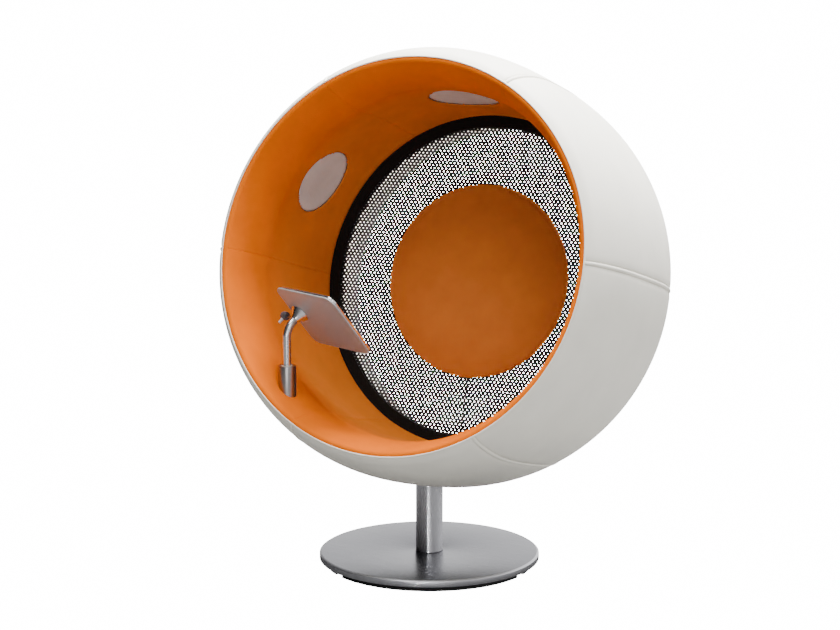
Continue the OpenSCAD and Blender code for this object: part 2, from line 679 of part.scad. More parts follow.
module pad_exciters() color("#3A3A3E") pod_frame() for (x = [-1, 1])
    translate([x * exciter_d, 0, dish_rear + dish_wall]) {
        cylinder(d = exciter_d, h = pad_back_d * 0.4);
        cylinder(d = exciter_d * 0.6, h = pad_back_d - dish_wall - gap);
    }

module pad_bolts() color("#77777A") pod_frame() pad_bolt_places() {
    translate([0, 0, dish_rear - pad_bolt_d / 2]) cylinder(d = pad_bolt_d * 1.8, h = pad_bolt_d / 2);
    translate([0, 0, dish_rear]) cylinder(d = pad_bolt_d, h = pad_rear + pad_board_t * 0.7 - dish_rear);
}

// Loudspeakers in the three upper panels
window_r = window_d / 2;
grille_top = lining(-window_back);
grille_low = grille_top + grille_t;
module speaker_grilles() color("#9C9186") pod_frame() for (i = [1:3]) intersection() {
    rotate_extrude() polygon(concat(
        [for (s = along(-window_back - window_r, -window_back + window_r, pad_steps)) [lining(s) + gap, s]],
        [for (s = along(-window_back + window_r, -window_back - window_r, pad_steps)) [lining(s) + grille_t, s]]));
    window_axis(i) cylinder(r = window_r - gap, h = pod_r);
}

can_top = grille_low + grille_t / 2;
can_d = window_d - 2 * can_inset;
driver_depth = cavity_out(-window_back) - can_top - driver_clear;
driver_flange_t = 4;
module speaker_cans() color("#2E2E30") pod_frame() for (i = [1:3]) intersection() {
    cavity_solid();
    window_axis(i) translate([0, 0, can_top]) difference() {
        cylinder(d = can_d, h = pod_r - can_top);
        translate([0, 0, -cut]) cylinder(r = can_d / 2 - can_wall, h = pod_r);
    }
}

module speaker_drivers() color("#1D1D1F") pod_frame() for (i = [1:3]) window_axis(i)
    translate([0, 0, can_top - driver_flange_t - gap]) rotate_extrude() polygon([
        [0, driver_depth * 0.3], [can_d * 0.1, driver_depth * 0.3], [can_d * 0.4, driver_flange_t / 2],
        [can_d * 0.42, 0], [can_d / 2 - gap, 0], [can_d / 2 - gap, driver_flange_t],
        [can_d * 0.43, driver_flange_t], [can_d * 0.25, driver_depth * 0.6], [can_d * 0.25, driver_depth],
        [0, driver_depth]]);

// Amplifier on its tray, between the shells under the seat
amp_s = pod_r * amp_place_share;
amp_bottom = sqrt(pow(cavity_out(amp_s + amp_l / 2), 2) - pow(amp_w / 2, 2)) - tray_gap;
amp_top = inner_out(amp_s + amp_l / 2) + amp_clear;
amp_h = amp_bottom - amp_top;
// The cradle's plate ends between the tray's two rails
spreader_share = 1.073;
spreader_r = (amp_bottom * sin(pod_tilt) + (amp_s - amp_l / 2) * cos(pod_tilt)) * spreader_share;
fin_count = 9;
module amp_block(w, l, near, far) rotate([0, 0, -90]) translate([near, -w / 2, amp_s - l / 2]) cube([far - near, w, l]);

module amplifier() color("#303034") pod_frame() difference() {
    amp_block(amp_w, amp_l, amp_top, amp_bottom);
    for (i = [1:fin_count - 1]) rotate([0, 0, -90])
        translate([amp_top - cut, -amp_w / 2 + amp_w * i / fin_count - can_wall, amp_s - amp_l / 2 - cut])
            cube([cut + amp_h * 0.3, 2 * can_wall, amp_l + 2 * cut]);
}

module amp_tray() color("#77777A") pod_frame() intersection() {
    cavity_solid($fn = 3 * $fn);
    difference() {
        amp_block(amp_w, amp_l, amp_bottom + gap, pod_r);
        amp_block(amp_w - 4 * foot_w, amp_l + 2 * cut, amp_bottom, pod_r);
    }
}

// Arm
arm_x = -arm_left;
arm_y = -arm_ahead;
socket_r = socket_d / 2;
tube_r = tube_d / 2;
arm_block_r = socket_r * 1.7;
bush_len = socket_d / 2;
tube_foot = socket_foot + bush_len;
module arm_frame() translate([arm_x, arm_y, 0]) rotate([0, 0, screen_yaw]) children();
// Origin at the joint between tube and bell, Z along the bell's axis
head_y = bend_r * (1 - cos(bend)) + tube_end * sin(bend);
head_z = bend_z + bend_r * sin(bend) + tube_end * cos(bend);
module head_frame() arm_frame() translate([0, head_y, head_z]) rotate([-bend, 0, 0]) children();

module arm_foot() color("#C8B48C") difference() {
    intersection() {
        pod_frame() between_shells();
        translate([arm_x, arm_y, 0]) cylinder(r = arm_block_r, h = socket_top);
    }
    socket_cut(run_gap);
}

module arm_socket() color("#B9B9BD") difference() {
    translate([arm_x, arm_y, socket_foot]) cylinder(r = socket_r, h = socket_top - socket_foot);
    translate([arm_x, arm_y, socket_foot + column_wall]) cylinder(r = tube_r + column_wall, h = socket_top);
}

module arm_bushes() color("#D8D2C0") translate([arm_x, arm_y, 0])
    for (z = [socket_foot + column_wall, socket_top - bush_len]) translate([0, 0, z]) difference() {
        cylinder(r = tube_r + column_wall - run_gap, h = bush_len - run_gap);
        translate([0, 0, z > socket_foot + cut ? -cut : column_wall])
            cylinder(r = tube_r + run_gap, h = bush_len + 2 * cut);
    }

module pipe(h) difference() {
    cylinder(r = tube_r, h = h);
    translate([0, 0, -cut]) cylinder(r = tube_r - tube_wall, h = h + 2 * cut);
}

tube_low = socket_foot + 2 * column_wall + gap;
module arm_tube() color("#B9B9BD") arm_frame() {
    translate([0, 0, tube_low]) rotate([0, 0, 90]) pipe(bend_z - tube_low);
    translate([0, bend_r, bend_z]) rotate([90, 0, -90]) difference() {
        rotate_extrude(angle = bend) translate([bend_r, 0]) circle(r = tube_r);
        rotate_extrude(angle = bend) translate([bend_r, 0]) circle(r = tube_r - tube_wall);
    }
}

// End fitting: a collar welded to the tube, and the spigot that the bell turns on
spigot_r = spigot_d / 2;
spigot_up = bell_h * 0.7;
module arm_spigot() color("#B4B4B8") head_frame() translate([0, 0, -tube_end]) {
    cylinder(r = tube_r, h = tube_end - gap);
    cylinder(r = spigot_r, h = tube_end + spigot_up);
}

// Bell: a flared cone from the tube to the screen's back
bell_neck = gap * 3;
lever_s = bell_h * 0.28;
function bell_radius(t) = tube_r + (bell_d / 2 - tube_r) * pow(t, 1.25);
bell_steps = 8;
stud_r = 4;
module screen_bell() color("#C3C3C7") head_frame() difference() {
    rotate_extrude() polygon(concat([[0, bell_neck]],
        [for (i = [0:bell_steps]) [bell_radius(i / bell_steps), bell_neck + (bell_h - bell_neck - stud_r / 2) * i / bell_steps]],
        [[bell_d / 2, bell_h], [0, bell_h]]));
    translate([0, 0, -cut]) cylinder(r = spigot_r + run_gap, h = cut + spigot_up + gap);
    translate([0, 0, lever_s]) rotate([0, -90, 0]) cylinder(r = stud_r + run_gap, h = bell_d);
}

module screen_frame() head_frame() translate([bell_left, bell_up, bell_h]) children();
module rounded(w, h, r) {
    square([w - 2 * r, h], center = true);
    square([w, h - 2 * r], center = true);
    for (x = [-1, 1], y = [-1, 1]) translate([x * (w / 2 - r), y * (h / 2 - r)]) circle(r = r);
}

module screen_back() color("#A3A3A7") screen_frame() linear_extrude(back_t) rounded(screen_w, screen_h, corner_r);

module screen_glass() color("#101114") screen_frame() translate([0, 0, back_t])
    linear_extrude(glass_t) rounded(screen_w - 2 * gap, screen_h - 2 * gap, corner_r);

// Clamp lever on the bell's left
module lever_frame() head_frame() translate([0, 0, lever_s]) rotate([0, -90, 0]) children();
stud_in = spigot_r + 3 * gap;
module lever_stud() color("#B5B5B8") lever_frame() translate([0, 0, stud_in])
    cylinder(r = stud_r, h = lever_out - stud_in + lever_l / 2);

module lever_hub() color("#4C4E54") lever_frame() translate([0, 0, lever_out]) difference() {
    rotate_extrude() polygon([[0, 0], [lever_d * 0.42, 0], [lever_d / 2, lever_l * 0.12],
        [lever_d / 2, lever_l * 0.85], [lever_d * 0.4, lever_l], [0, lever_l]]);
    translate([0, 0, -cut]) cylinder(r = stud_r + run_gap, h = cut + lever_l / 2 + gap);
}

lever_arm_w = lever_l * 0.5;
module lever_arm() color("#C9C4C6") lever_frame() translate([0, 0, lever_out + lever_l / 2])
    rotate([0, 90, 180]) difference() {
        cylinder(d1 = lever_arm_w, d2 = lever_arm_w * 0.8, h = lever_d * 1.1);
        translate([-lever_l, 0, 0]) rotate([0, 90, 0]) cylinder(d = lever_d + 2 * gap, h = 2 * lever_l);
    }

base_plate();
base_feet();
base_bolts();
base_grommet();
column_tube();
column_foot();
column_cap();
spindle();
spindle_nut();
thrust_bearing();
bearing_hub();
hub_bushes();
hub_bolts();
cradle();
outer_shell();
inner_shell();
front_hoop();
rear_hoop();
rear_bulkhead();
recess_liner();
cover_panel(1);  // cover_panel_1
cover_panel(2);  // cover_panel_2
cover_panel(3);  // cover_panel_3
cover_panel(4);  // cover_panel_4
cover_panel(5);  // cover_panel_5
cover_panel(6);  // cover_panel_6
cover_strips();
front_welt();
lining_panel(1);  // lining_panel_1
lining_panel(2);  // lining_panel_2
lining_panel(3);  // lining_panel_3
lining_panel(4);  // lining_panel_4
lining_panel(5);  // lining_panel_5
lining_panel(6);  // lining_panel_6
clamp_ring();
net();
ring_screws();
back_pad();
pad_board();
pad_back();
pad_exciters();
pad_bolts();
pad_lead();
speaker_grilles();
speaker_drivers();
speaker_cans();
amplifier();
amp_tray();
arm_foot();
arm_socket();
arm_bushes();
arm_tube();
arm_spigot();
screen_bell();
screen_back();
screen_glass();
lever_hub();
lever_stud();
lever_arm();
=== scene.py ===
"""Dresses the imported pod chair: leather cover, padded lining, net, back pad, stand, arm and screen.
It is laid out as an add-on with one operator for each group of pieces, and it is run as a script."""

import math
from contextlib import contextmanager

import bmesh
import bpy
import numpy as np
from mathutils import Matrix, Vector, noise


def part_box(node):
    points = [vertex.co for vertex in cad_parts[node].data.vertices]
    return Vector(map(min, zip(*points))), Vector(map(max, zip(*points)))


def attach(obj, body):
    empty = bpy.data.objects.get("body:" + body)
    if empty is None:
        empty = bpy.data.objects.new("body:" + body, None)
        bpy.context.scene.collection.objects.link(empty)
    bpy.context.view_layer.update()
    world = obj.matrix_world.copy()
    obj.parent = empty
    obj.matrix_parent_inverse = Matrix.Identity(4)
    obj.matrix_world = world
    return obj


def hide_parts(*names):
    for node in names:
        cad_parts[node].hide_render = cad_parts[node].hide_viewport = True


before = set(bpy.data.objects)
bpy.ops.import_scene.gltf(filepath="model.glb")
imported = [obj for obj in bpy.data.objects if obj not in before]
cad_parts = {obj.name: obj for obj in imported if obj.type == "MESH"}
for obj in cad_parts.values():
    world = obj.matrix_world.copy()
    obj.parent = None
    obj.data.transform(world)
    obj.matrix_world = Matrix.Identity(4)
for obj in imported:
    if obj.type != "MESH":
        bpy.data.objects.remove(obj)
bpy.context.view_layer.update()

bl_info = {
    "name": "Pod chair",
    "version": (1, 0, 0),
    "blender": (4, 5, 0),
    "location": "View3D > Sidebar > Pod Chair",
    "description": "Builds a ball-shaped listening chair round its fixed construction",
    "category": "Add Mesh",
}


def lin(code):
    """A hex sRGB colour as linear red, green and blue."""
    channels = [int(code[i : i + 2], 16) / 255 for i in (1, 3, 5)]
    return tuple(c / 12.92 if c <= 0.04045 else ((c + 0.055) / 1.055) ** 2.4 for c in channels)


# Settings that a user would change


def length_setting(name, description, default):
    """A setting in metres."""
    return bpy.props.FloatProperty(name=name, description=description, default=default, unit="LENGTH")


def angle_setting(name, description, degrees):
    """A setting that is a turn."""
    turn = math.radians(degrees)
    return bpy.props.FloatProperty(name=name, description=description, default=turn, unit="ROTATION")


class PodShape(bpy.types.PropertyGroup):
    """The pod's own sizes, which repeat those of its construction"""

    height: length_setting("Centre height", "Height of the pod's centre above the floor", 1.001)
    tilt: angle_setting("Tilt", "How far the opening looks up", 15.65)
    radius: length_setting("Outer radius", "Largest radius of the cover", 0.7155)
    seams: bpy.props.IntProperty(name="Seams", description="Number of leather panels", default=6)
    seam_turn: angle_setting("Seam turn", "Turn of all seams about the pod's axis", 1.8)
    band: length_setting("Band width", "Width of the raised band between two rows of stitches", 0.015)
    window: length_setting("Window", "Diameter of a loudspeaker window", 0.238)


class NetShape(bpy.types.PropertyGroup):
    """Spacing and thickness of the net"""

    pitch: length_setting("Pitch", "Distance of two holes in a row", 0.0147)
    row: length_setting("Row", "Distance of two rows", 0.0103)
    hole: length_setting("Hole", "Width of one hole", 0.0050)
    thick: length_setting("Thickness", "Thickness of the cord", 0.0016)


def colour_setting(name, description, code):
    """A setting that is a colour, given as sRGB hex."""
    return bpy.props.FloatVectorProperty(
        name=name, description=description, subtype="COLOR", size=3, min=0, max=1, default=lin(code)
    )


class PodColours(bpy.types.PropertyGroup):
    """Colours of the finishes"""

    leather: colour_setting("Leather", "Cover leather", "#EDE9DD")
    # the lining and lip colours are painted light: the lip's purer orange stands for the lamps striking the
    # lip full on, and the lining's yellower orange offsets the deeper colour of light thrown from wall to
    # wall
    lining: colour_setting("Lining", "Lining cloth, inside the pod", "#D97C29")
    lip: colour_setting("Lip", "Lining cloth at the lip", "#E26C03")
    pad: colour_setting("Back pad", "Cloth of the back pad", "#C27230")
    grille: colour_setting("Grille", "Cloth over the loudspeakers", "#D4D6D4")
    net: colour_setting("Net", "Cord of the net", "#0A0A0B")
    steel: colour_setting("Steel", "Brushed steel", "#BDBDC1")
    plate: colour_setting("Base plate", "Blasted steel of the base", "#6C6C72")


# Nodes and materials


def add(tree, kind, values=None, links=None, **settings):
    """Adds one node, sets its properties and sockets, and links what feeds it."""
    made = tree.nodes.new(kind)
    for key, value in settings.items():
        setattr(made, key, value)
    for socket, value in (values or {}).items():
        made.inputs[socket].default_value = value
    for socket, source in (links or {}).items():
        tree.links.new(source, made.inputs[socket])
    return made


def material(name, constants):
    """A material with one Principled shader, its constant sockets set, and the place on the object."""
    made = bpy.data.materials.new(name)
    made.use_nodes = True
    tree = made.node_tree
    tree.nodes.clear()
    shader = add(tree, "ShaderNodeBsdfPrincipled", constants)
    add(tree, "ShaderNodeOutputMaterial", links={"Surface": shader.outputs[0]})
    place = add(tree, "ShaderNodeTexCoord").outputs["Object"]
    return made, tree, shader, place


def feed(tree, shader, sources):
    """Links each source to the shader's socket of that name."""
    for socket, source in sources.items():
        tree.links.new(source, shader.inputs[socket])


def rgba(colour, gain=1.0):
    """A colour with its opacity, made lighter or darker by gain."""
    return (*[min(1.0, c * gain) for c in colour], 1.0)


def two_tones(tree, source, dark, light, low=0.3, high=0.7):
    """A colour that runs from dark to light as source goes from low to high."""
    ramp = add(tree, "ShaderNodeValToRGB", links={"Fac": source})
    ramp.color_ramp.elements[0].position, ramp.color_ramp.elements[0].color = low, dark
    ramp.color_ramp.elements[1].position, ramp.color_ramp.elements[1].color = high, light
    return ramp.outputs["Color"]


def spread(tree, source, low, high):
    """A value that runs from low to high as the noise in source goes from 0.3 to 0.7."""
    ends = {"From Min": 0.3, "From Max": 0.7, "To Min": low, "To Max": high}
    return add(tree, "ShaderNodeMapRange", ends, {"Value": source}).outputs["Result"]


def pigmented_leather(name, colour):
    """Pigmented cowhide, embossed and sprayed.
    It has a soft highlight, a fine pebble grain and faint clouds in the colour."""
    made, tree, shader, place = material(name, {"IOR": 1.5, "Specular IOR Level": 0.35})
    here = {"Vector": place}
    clouds = add(tree, "ShaderNodeTexNoise", {"Scale": 7.0, "Detail": 4.0, "Roughness": 0.55}, here)
    # pebbles of 2.5 mm, twice the real grain, so that they show in the render
    pebbles = add(
        tree, "ShaderNodeTexVoronoi", {"Scale": 400.0, "Randomness": 1.0}, here, feature="SMOOTH_F1"
    )
    height = {"Height": pebbles.outputs["Distance"]}
    grain = add(tree, "ShaderNodeBump", {"Strength": 0.35, "Distance": 0.0004}, height)
    hide = add(tree, "ShaderNodeTexNoise", {"Scale": 16.0, "Detail": 3.0, "Roughness": 0.5}, here)
    relief = add(
        tree,
        "ShaderNodeBump",
        {"Strength": 0.35, "Distance": 0.003},
        {"Height": hide.outputs["Fac"], "Normal": grain.outputs["Normal"]},
    )
    feed(tree, shader, {
        "Base Color": two_tones(tree, clouds.outputs["Fac"], rgba(colour, 0.955), rgba(colour, 1.02)),
        "Normal": relief.outputs["Normal"],
        "Roughness": spread(tree, clouds.outputs["Fac"], 0.5, 0.6),
    })
    return made


def painted_light_net_to_lip(tree, place, inner, lip):
    """One colour by the net and another at the lip, as painted light: the lip, which the lamps strike full
    on, is given a purer orange, and the inside a yellower one that offsets the deeper colour of light thrown
    from wall to wall.
    """
    axis, centre = pod_matrix().to_3x3() @ Vector((0, 0, 1)), pod_matrix().translation
    # stations along the pod's axis, from its centre, between which the painted light runs from the inside
    # colour to the lip colour
    inner_end, lip_start = -0.12, 0.19
    along = add(tree, "ShaderNodeVectorMath", {1: axis}, {0: place}, operation="DOT_PRODUCT")
    depth = add(
        tree,
        "ShaderNodeMapRange",
        {"From Min": axis.dot(centre) + inner_end, "From Max": axis.dot(centre) + lip_start},
        {"Value": along.outputs["Value"]},
        interpolation_type="SMOOTHSTEP",
    )
    sources = {0: depth.outputs["Result"], 6: inner, 7: lip}
    return add(tree, "ShaderNodeMix", links=sources, data_type="RGBA").outputs[2]


def napped_microfibre(name, colour, lip=None):
    """Microfibre suede, sanded: no gloss, a soft bloom at the edges, a short nap with brushed clouds. Given a
    lip colour, it runs from the inside colour to the lip colour as painted light.
    """
    made, tree, shader, place = material(name, {
        "Roughness": 0.92,
        "Specular IOR Level": 0.0,
        "Sheen Weight": 0.02,
        "Sheen Roughness": 0.5,
        "Sheen Tint": rgba(colour),
    })
    here = {"Vector": place}
    clouds = add(tree, "ShaderNodeTexNoise", {"Scale": 5.5, "Detail": 5.0, "Roughness": 0.6}, here)
    base = two_tones(tree, clouds.outputs["Fac"], rgba(colour, 0.9), rgba(colour, 1.04))
    # painted light: the lip colour stands for the lamps striking the lip full on, and the other colour for
    # the inside
    if lip:
        lit_lip_tone = two_tones(tree, clouds.outputs["Fac"], rgba(lip, 0.9), rgba(lip, 1.04))
        base = painted_light_net_to_lip(tree, place, base, lit_lip_tone)
    # nap of 1.6 mm, about three times the real one, so that it shows
    nap = add(tree, "ShaderNodeTexNoise", {"Scale": 620.0, "Detail": 2.0}, here)
    fine = add(tree, "ShaderNodeBump", {"Strength": 0.5, "Distance": 0.0005}, {"Height": nap.outputs["Fac"]})
    rolls = add(tree, "ShaderNodeTexNoise", {"Scale": 9.0, "Detail": 2.0, "Roughness": 0.4}, here)
    soft = add(
        tree,
        "ShaderNodeBump",
        {"Strength": 0.4, "Distance": 0.008},
        {"Height": rolls.outputs["Fac"], "Normal": fine.outputs["Normal"]},
    )
    feed(tree, shader, {"Base Color": base, "Normal": soft.outputs["Normal"]})
    return made


def woven_cloth(name, colour, thread=0.0016):
    """Woven polyester, plain weave: dull, with a fine grid of threads."""
    made, tree, shader, place = material(name, {"Roughness": 0.85, "Specular IOR Level": 0.2})
    clouds = add(tree, "ShaderNodeTexNoise", {"Scale": 12.0, "Detail": 3.0}, {"Vector": place})
    # the threads are drawn about twice as coarse as the real ones, so that they show
    over, under = [
        add(
            tree,
            "ShaderNodeTexWave",
            {"Scale": 0.16 / thread, "Distortion": 0.4},
            {"Vector": place},
            bands_direction=way,
        ).outputs["Fac"]
        for way in ("X", "Z")
    ]
    weave = add(tree, "ShaderNodeMath", links={0: over, 1: under}, operation="MULTIPLY")
    bump = add(tree, "ShaderNodeBump", {"Strength": 0.5, "Distance": 0.0006}, {"Height": weave.outputs[0]})
    feed(tree, shader, {
        "Base Color": two_tones(tree, clouds.outputs["Fac"], rgba(colour, 0.93), rgba(colour, 1.05)),
        "Normal": bump.outputs["Normal"],
    })
    return made


def brushed_metal(name, colour, roughness, along=(1.0, 60.0, 60.0), streak=0.06, metallic=1.0, stretch=0.0):
    """Stainless steel or aluminium, brushed with a belt: long fine scratches that stretch the highlight."""
    made, tree, shader, place = material(
        name, {"Metallic": metallic, "Anisotropic": stretch, "Anisotropic Rotation": 0.25}
    )
    stretched = add(tree, "ShaderNodeMapping", {"Scale": along}, {"Vector": place})
    # scratches of about 1 mm across, wider than real ones, so that they show
    lines = add(
        tree,
        "ShaderNodeTexNoise",
        {"Scale": 14.0, "Detail": 5.0, "Roughness": 0.65},
        {"Vector": stretched.outputs[0]},
    ).outputs["Fac"]
    bump = add(tree, "ShaderNodeBump", {"Strength": 0.12, "Distance": 0.0002}, {"Height": lines})
    feed(tree, shader, {
        "Base Color": two_tones(tree, lines, rgba(colour, 1 - streak), rgba(colour, 1 + streak)),
        "Normal": bump.outputs["Normal"],
        "Roughness": spread(tree, lines, roughness * 0.85, roughness * 1.15),
    })
    return made


def moulded_plastic(name, colour, roughness=0.5, grain=900.0):
    """ABS, nylon or rubber from a spark-eroded mould: even colour with a fine matt texture."""
    made, tree, shader, place = material(name, {"Roughness": roughness})
    pores = add(tree, "ShaderNodeTexNoise", {"Scale": grain, "Detail": 2.0}, {"Vector": place}).outputs["Fac"]
    bump = add(tree, "ShaderNodeBump", {"Strength": 0.25, "Distance": 0.0002}, {"Height": pores})
    feed(tree, shader, {
        "Base Color": two_tones(tree, pores, rgba(colour, 0.92), rgba(colour, 1.06)),
        "Normal": bump.outputs["Normal"],
    })
    return made


def birch_ply(name, colour):
    """Birch plywood, sawn: pale layers seen at the edge, faint grain."""
    made, tree, shader, place = material(name, {"Roughness": 0.7})
    stretched = add(tree, "ShaderNodeMapping", {"Scale": (3.0, 40.0, 40.0)}, {"Vector": place})
    grain = add(tree, "ShaderNodeTexNoise", {"Scale": 6.0, "Detail": 5.0}, {"Vector": stretched.outputs[0]})
    base = two_tones(tree, grain.outputs["Fac"], rgba(colour, 0.75), rgba(colour, 1.1))
    feed(tree, shader, {"Base Color": base})
    return made


def black_glass(name, colour):
    """Toughened glass over a dark display, polished: deep black, sharp reflections and a faint smear."""
    made, tree, shader, place = material(name, {"IOR": 1.52, "Coat Weight": 0.6, "Coat Roughness": 0.03})
    smear = add(tree, "ShaderNodeTexNoise", {"Scale": 22.0, "Detail": 2.0}, {"Vector": place}).outputs["Fac"]
    feed(tree, shader, {
        "Base Color": two_tones(tree, smear, rgba(colour, 0.9), rgba(colour, 1.1)),
        "Roughness": spread(tree, smear, 0.04, 0.09),
    })
    return made


# The pod's own shape

PEAK, FRONT_RUN, REAR_RUN = -0.100, 0.551, 0.631
RIM_S, SHOULDER_S, SHOULDER_R = 0.243, 0.2155, 0.062
ROLL_S, ROLL_R, LIP_R = -0.588, 0.012, 0.012
NECK_R, NECK_S, BELLY_R, BELLY_S = 0.580, 0.050, 0.588, -0.130
RING_S, RING_R, RING_IN_R = -0.3838, 0.5696, 0.5342
FLARE_SLOPE = 0.5
WINDOW_S = -0.140


def outer(s):
    """Radius of the cover at station s."""
    run = FRONT_RUN if s > PEAK else REAR_RUN
    return POD.radius * (1 - abs((s - PEAK) / run) ** 3) ** (1 / 3)


def outer_angle(s):
    """Direction of the cover's outward normal, from +s."""
    step = 1e-5
    return math.atan2(1, -(outer(s + step) - outer(s - step)) / (2 * step))


def arc(centre, radius, start, end, steps):
    """Points (r, s) round a centre, at angles from +s."""
    angles = [start + (end - start) * i / steps for i in range(steps + 1)]
    return [(centre[0] + radius * math.sin(a), centre[1] + radius * math.cos(a)) for a in angles]


class PodOutline:
    """Centres and angles of the front and rear edges, worked out once."""

    def __init__(self):
        self.shoulder_a = outer_angle(SHOULDER_S)
        self.shoulder = (
            outer(SHOULDER_S) - SHOULDER_R * math.sin(self.shoulder_a),
            SHOULDER_S - SHOULDER_R * math.cos(self.shoulder_a),
        )
        self.rim_a = math.acos((RIM_S - self.shoulder[1]) / SHOULDER_R)
        self.rim_r = self.shoulder[0] + SHOULDER_R * math.sin(self.rim_a)
        self.lip = (self.rim_r - LIP_R * math.sin(self.rim_a), RIM_S - LIP_R * math.cos(self.rim_a))
        self.lip_a = math.atan(FLARE_SLOPE) - math.pi / 2
        self.lip_end = (
            self.lip[0] + LIP_R * math.sin(self.lip_a),
            self.lip[1] + LIP_R * math.cos(self.lip_a),
        )
        self.flare = FLARE_SLOPE * (self.lip_end[1] - NECK_S) / (self.lip_end[0] - NECK_R)
        self.roll_a = outer_angle(ROLL_S)
        self.roll = (
            outer(ROLL_S) - ROLL_R * math.sin(self.roll_a),
            ROLL_S - ROLL_R * math.cos(self.roll_a),
        )

    def lining(self, s):
        """Radius of the lining at station s."""
        if s > NECK_S:
            share = (s - NECK_S) / (self.lip_end[1] - NECK_S)
            return NECK_R + (self.lip_end[0] - NECK_R) * share**self.flare
        if s > BELLY_S:
            return BELLY_R - (BELLY_R - NECK_R) * ((s - BELLY_S) / (NECK_S - BELLY_S)) ** 2
        return BELLY_R - (BELLY_R - RING_R) * ((BELLY_S - s) / (BELLY_S - RING_S)) ** 2


def pod_matrix():
    """The pod's own frame: Z along its axis, out of the opening."""
    return Matrix.Translation((0, 0, POD.height)) @ Matrix.Rotation(math.pi / 2 - POD.tilt, 4, "X")


# Meshes and node trees


def piece(name, mesh, finish, body, replaces=()):
    """Links a finished mesh, gives it a material and hands it to the frame."""
    made = bpy.data.objects.new(name, mesh)
    bpy.context.scene.collection.objects.link(made)
    made.data.materials.clear()
    made.data.materials.append(finish)
    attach(made, body)
    if replaces:
        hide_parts(*replaces)
    return made


def solidify(made, name, thickness, offset):
    """Gives a finished skin its wall."""
    wall = made.modifiers.new(name, "SOLIDIFY")
    wall.thickness, wall.offset = thickness, offset


def mesh_from(name, points, faces, smooth=True):
    """A mesh from its points and faces."""
    mesh = bpy.data.meshes.new(name)
    mesh.from_pydata([tuple(p) for p in points], [], faces)
    if smooth:
        mesh.polygons.foreach_set("use_smooth", [True] * len(mesh.polygons))
    mesh.update()
    return mesh


@contextmanager
def edited(mesh):
    """Opens a mesh for editing and writes it back."""
    bm = bmesh.new()
    bm.from_mesh(mesh)
    yield bm
    bm.to_mesh(mesh)
    bm.free()


def outwards(mesh):
    """Merges doubles and turns all faces outwards."""
    with edited(mesh) as bm:
        bmesh.ops.remove_doubles(bm, verts=bm.verts, dist=1e-6)
        bmesh.ops.recalc_face_normals(bm, faces=bm.faces)
    return mesh


def sharpen(mesh, angle=math.radians(35)):
    """Keeps edges crisp where two faces meet at more than the angle."""
    with edited(mesh) as bm:
        for edge in bm.edges:
            if len(edge.link_faces) == 2 and edge.calc_face_angle() > angle:
                edge.smooth = False
    return mesh


def turns(steps):
    """Evenly spaced angles, once round."""
    return [2 * math.pi * k / steps for k in range(steps)]


def quads(rows, count, closed=True):
    """Faces of a grid of points, row by row. Closed joins the end of each row to its start."""
    return [
        (i * count + k, i * count + (k + 1) % count, (i + 1) * count + (k + 1) % count, (i + 1) * count + k)
        for i in range(rows - 1)
        for k in range(count if closed else count - 1)
    ]


def flipped(faces, first=0):
    """Four-sided faces seen from their other side, for points that start at number first."""
    return [(first + a, first + d, first + c, first + b) for a, b, c, d in faces]


def ends(rows, count):
    """The two faces that close a grid of points at its first and its last row."""
    return [tuple(reversed(range(count))), tuple(range((rows - 1) * count, rows * count))]


def rounded(outline, radius, steps=3):
    """An outline of (r, z) points whose inner corners are rounded."""
    made = [outline[0]]
    for before, corner, after in zip(outline, outline[1:], outline[2:]):
        b, c, a = Vector(before), Vector(corner), Vector(after)
        reach = min(radius, (b - c).length * 0.45, (a - c).length * 0.45)
        start, end = c + (b - c).normalized() * reach, c + (a - c).normalized() * reach
        for i in range(steps + 1):
            t = i / steps
            made.append(tuple(start * (1 - t) ** 2 + c * 2 * t * (1 - t) + end * t**2))
    made.append(outline[-1])
    return made


def turned(name, outline, matrix=None, steps=96):
    """A lathe-turned mesh of (r, z) points about its own Z, closed where the outline meets the axis."""
    points = [Vector((r * math.cos(a), r * math.sin(a), z)) for r, z in outline for a in turns(steps)]
    if matrix is not None:
        points = [matrix @ p for p in points]
    return sharpen(outwards(mesh_from(name, points, quads(len(outline), steps))))


def swept(name, path, radius, steps=40):
    """A round bar along a path, with closed ends."""
    points = []
    side = None
    for i, p in enumerate(path):
        ahead = (path[min(i + 1, len(path) - 1)] - path[max(i - 1, 0)]).normalized()
        side = ahead.orthogonal() if side is None else side - ahead * side.dot(ahead)
        side.normalize()
        up = ahead.cross(side)
        points += [p + (side * math.cos(a) + up * math.sin(a)) * radius for a in turns(steps)]
    faces = quads(len(path), steps) + ends(len(path), steps)
    return sharpen(outwards(mesh_from(name, points, faces)))


def rounded_plate(name, width, height, corner, layers, matrix, steps=10):
    """A plate with rounded corners. Each layer is (inset, z), and the first and last are closed."""
    outline = []
    for cx, cy, start in ((1, 1, 0), (-1, 1, 90), (-1, -1, 180), (1, -1, 270)):
        x, y = cx * (width / 2 - corner), cy * (height / 2 - corner)
        for k in range(steps + 1):
            a = math.radians(start + 90 * k / steps)
            outline.append((x, y, math.cos(a), math.sin(a)))
    points = [
        matrix @ Vector((x + ca * (corner - inset), y + sa * (corner - inset), z))
        for inset, z in layers
        for x, y, ca, sa in outline
    ]
    faces = quads(len(layers), len(outline)) + ends(len(layers), len(outline))
    return sharpen(outwards(mesh_from(name, points, faces)))


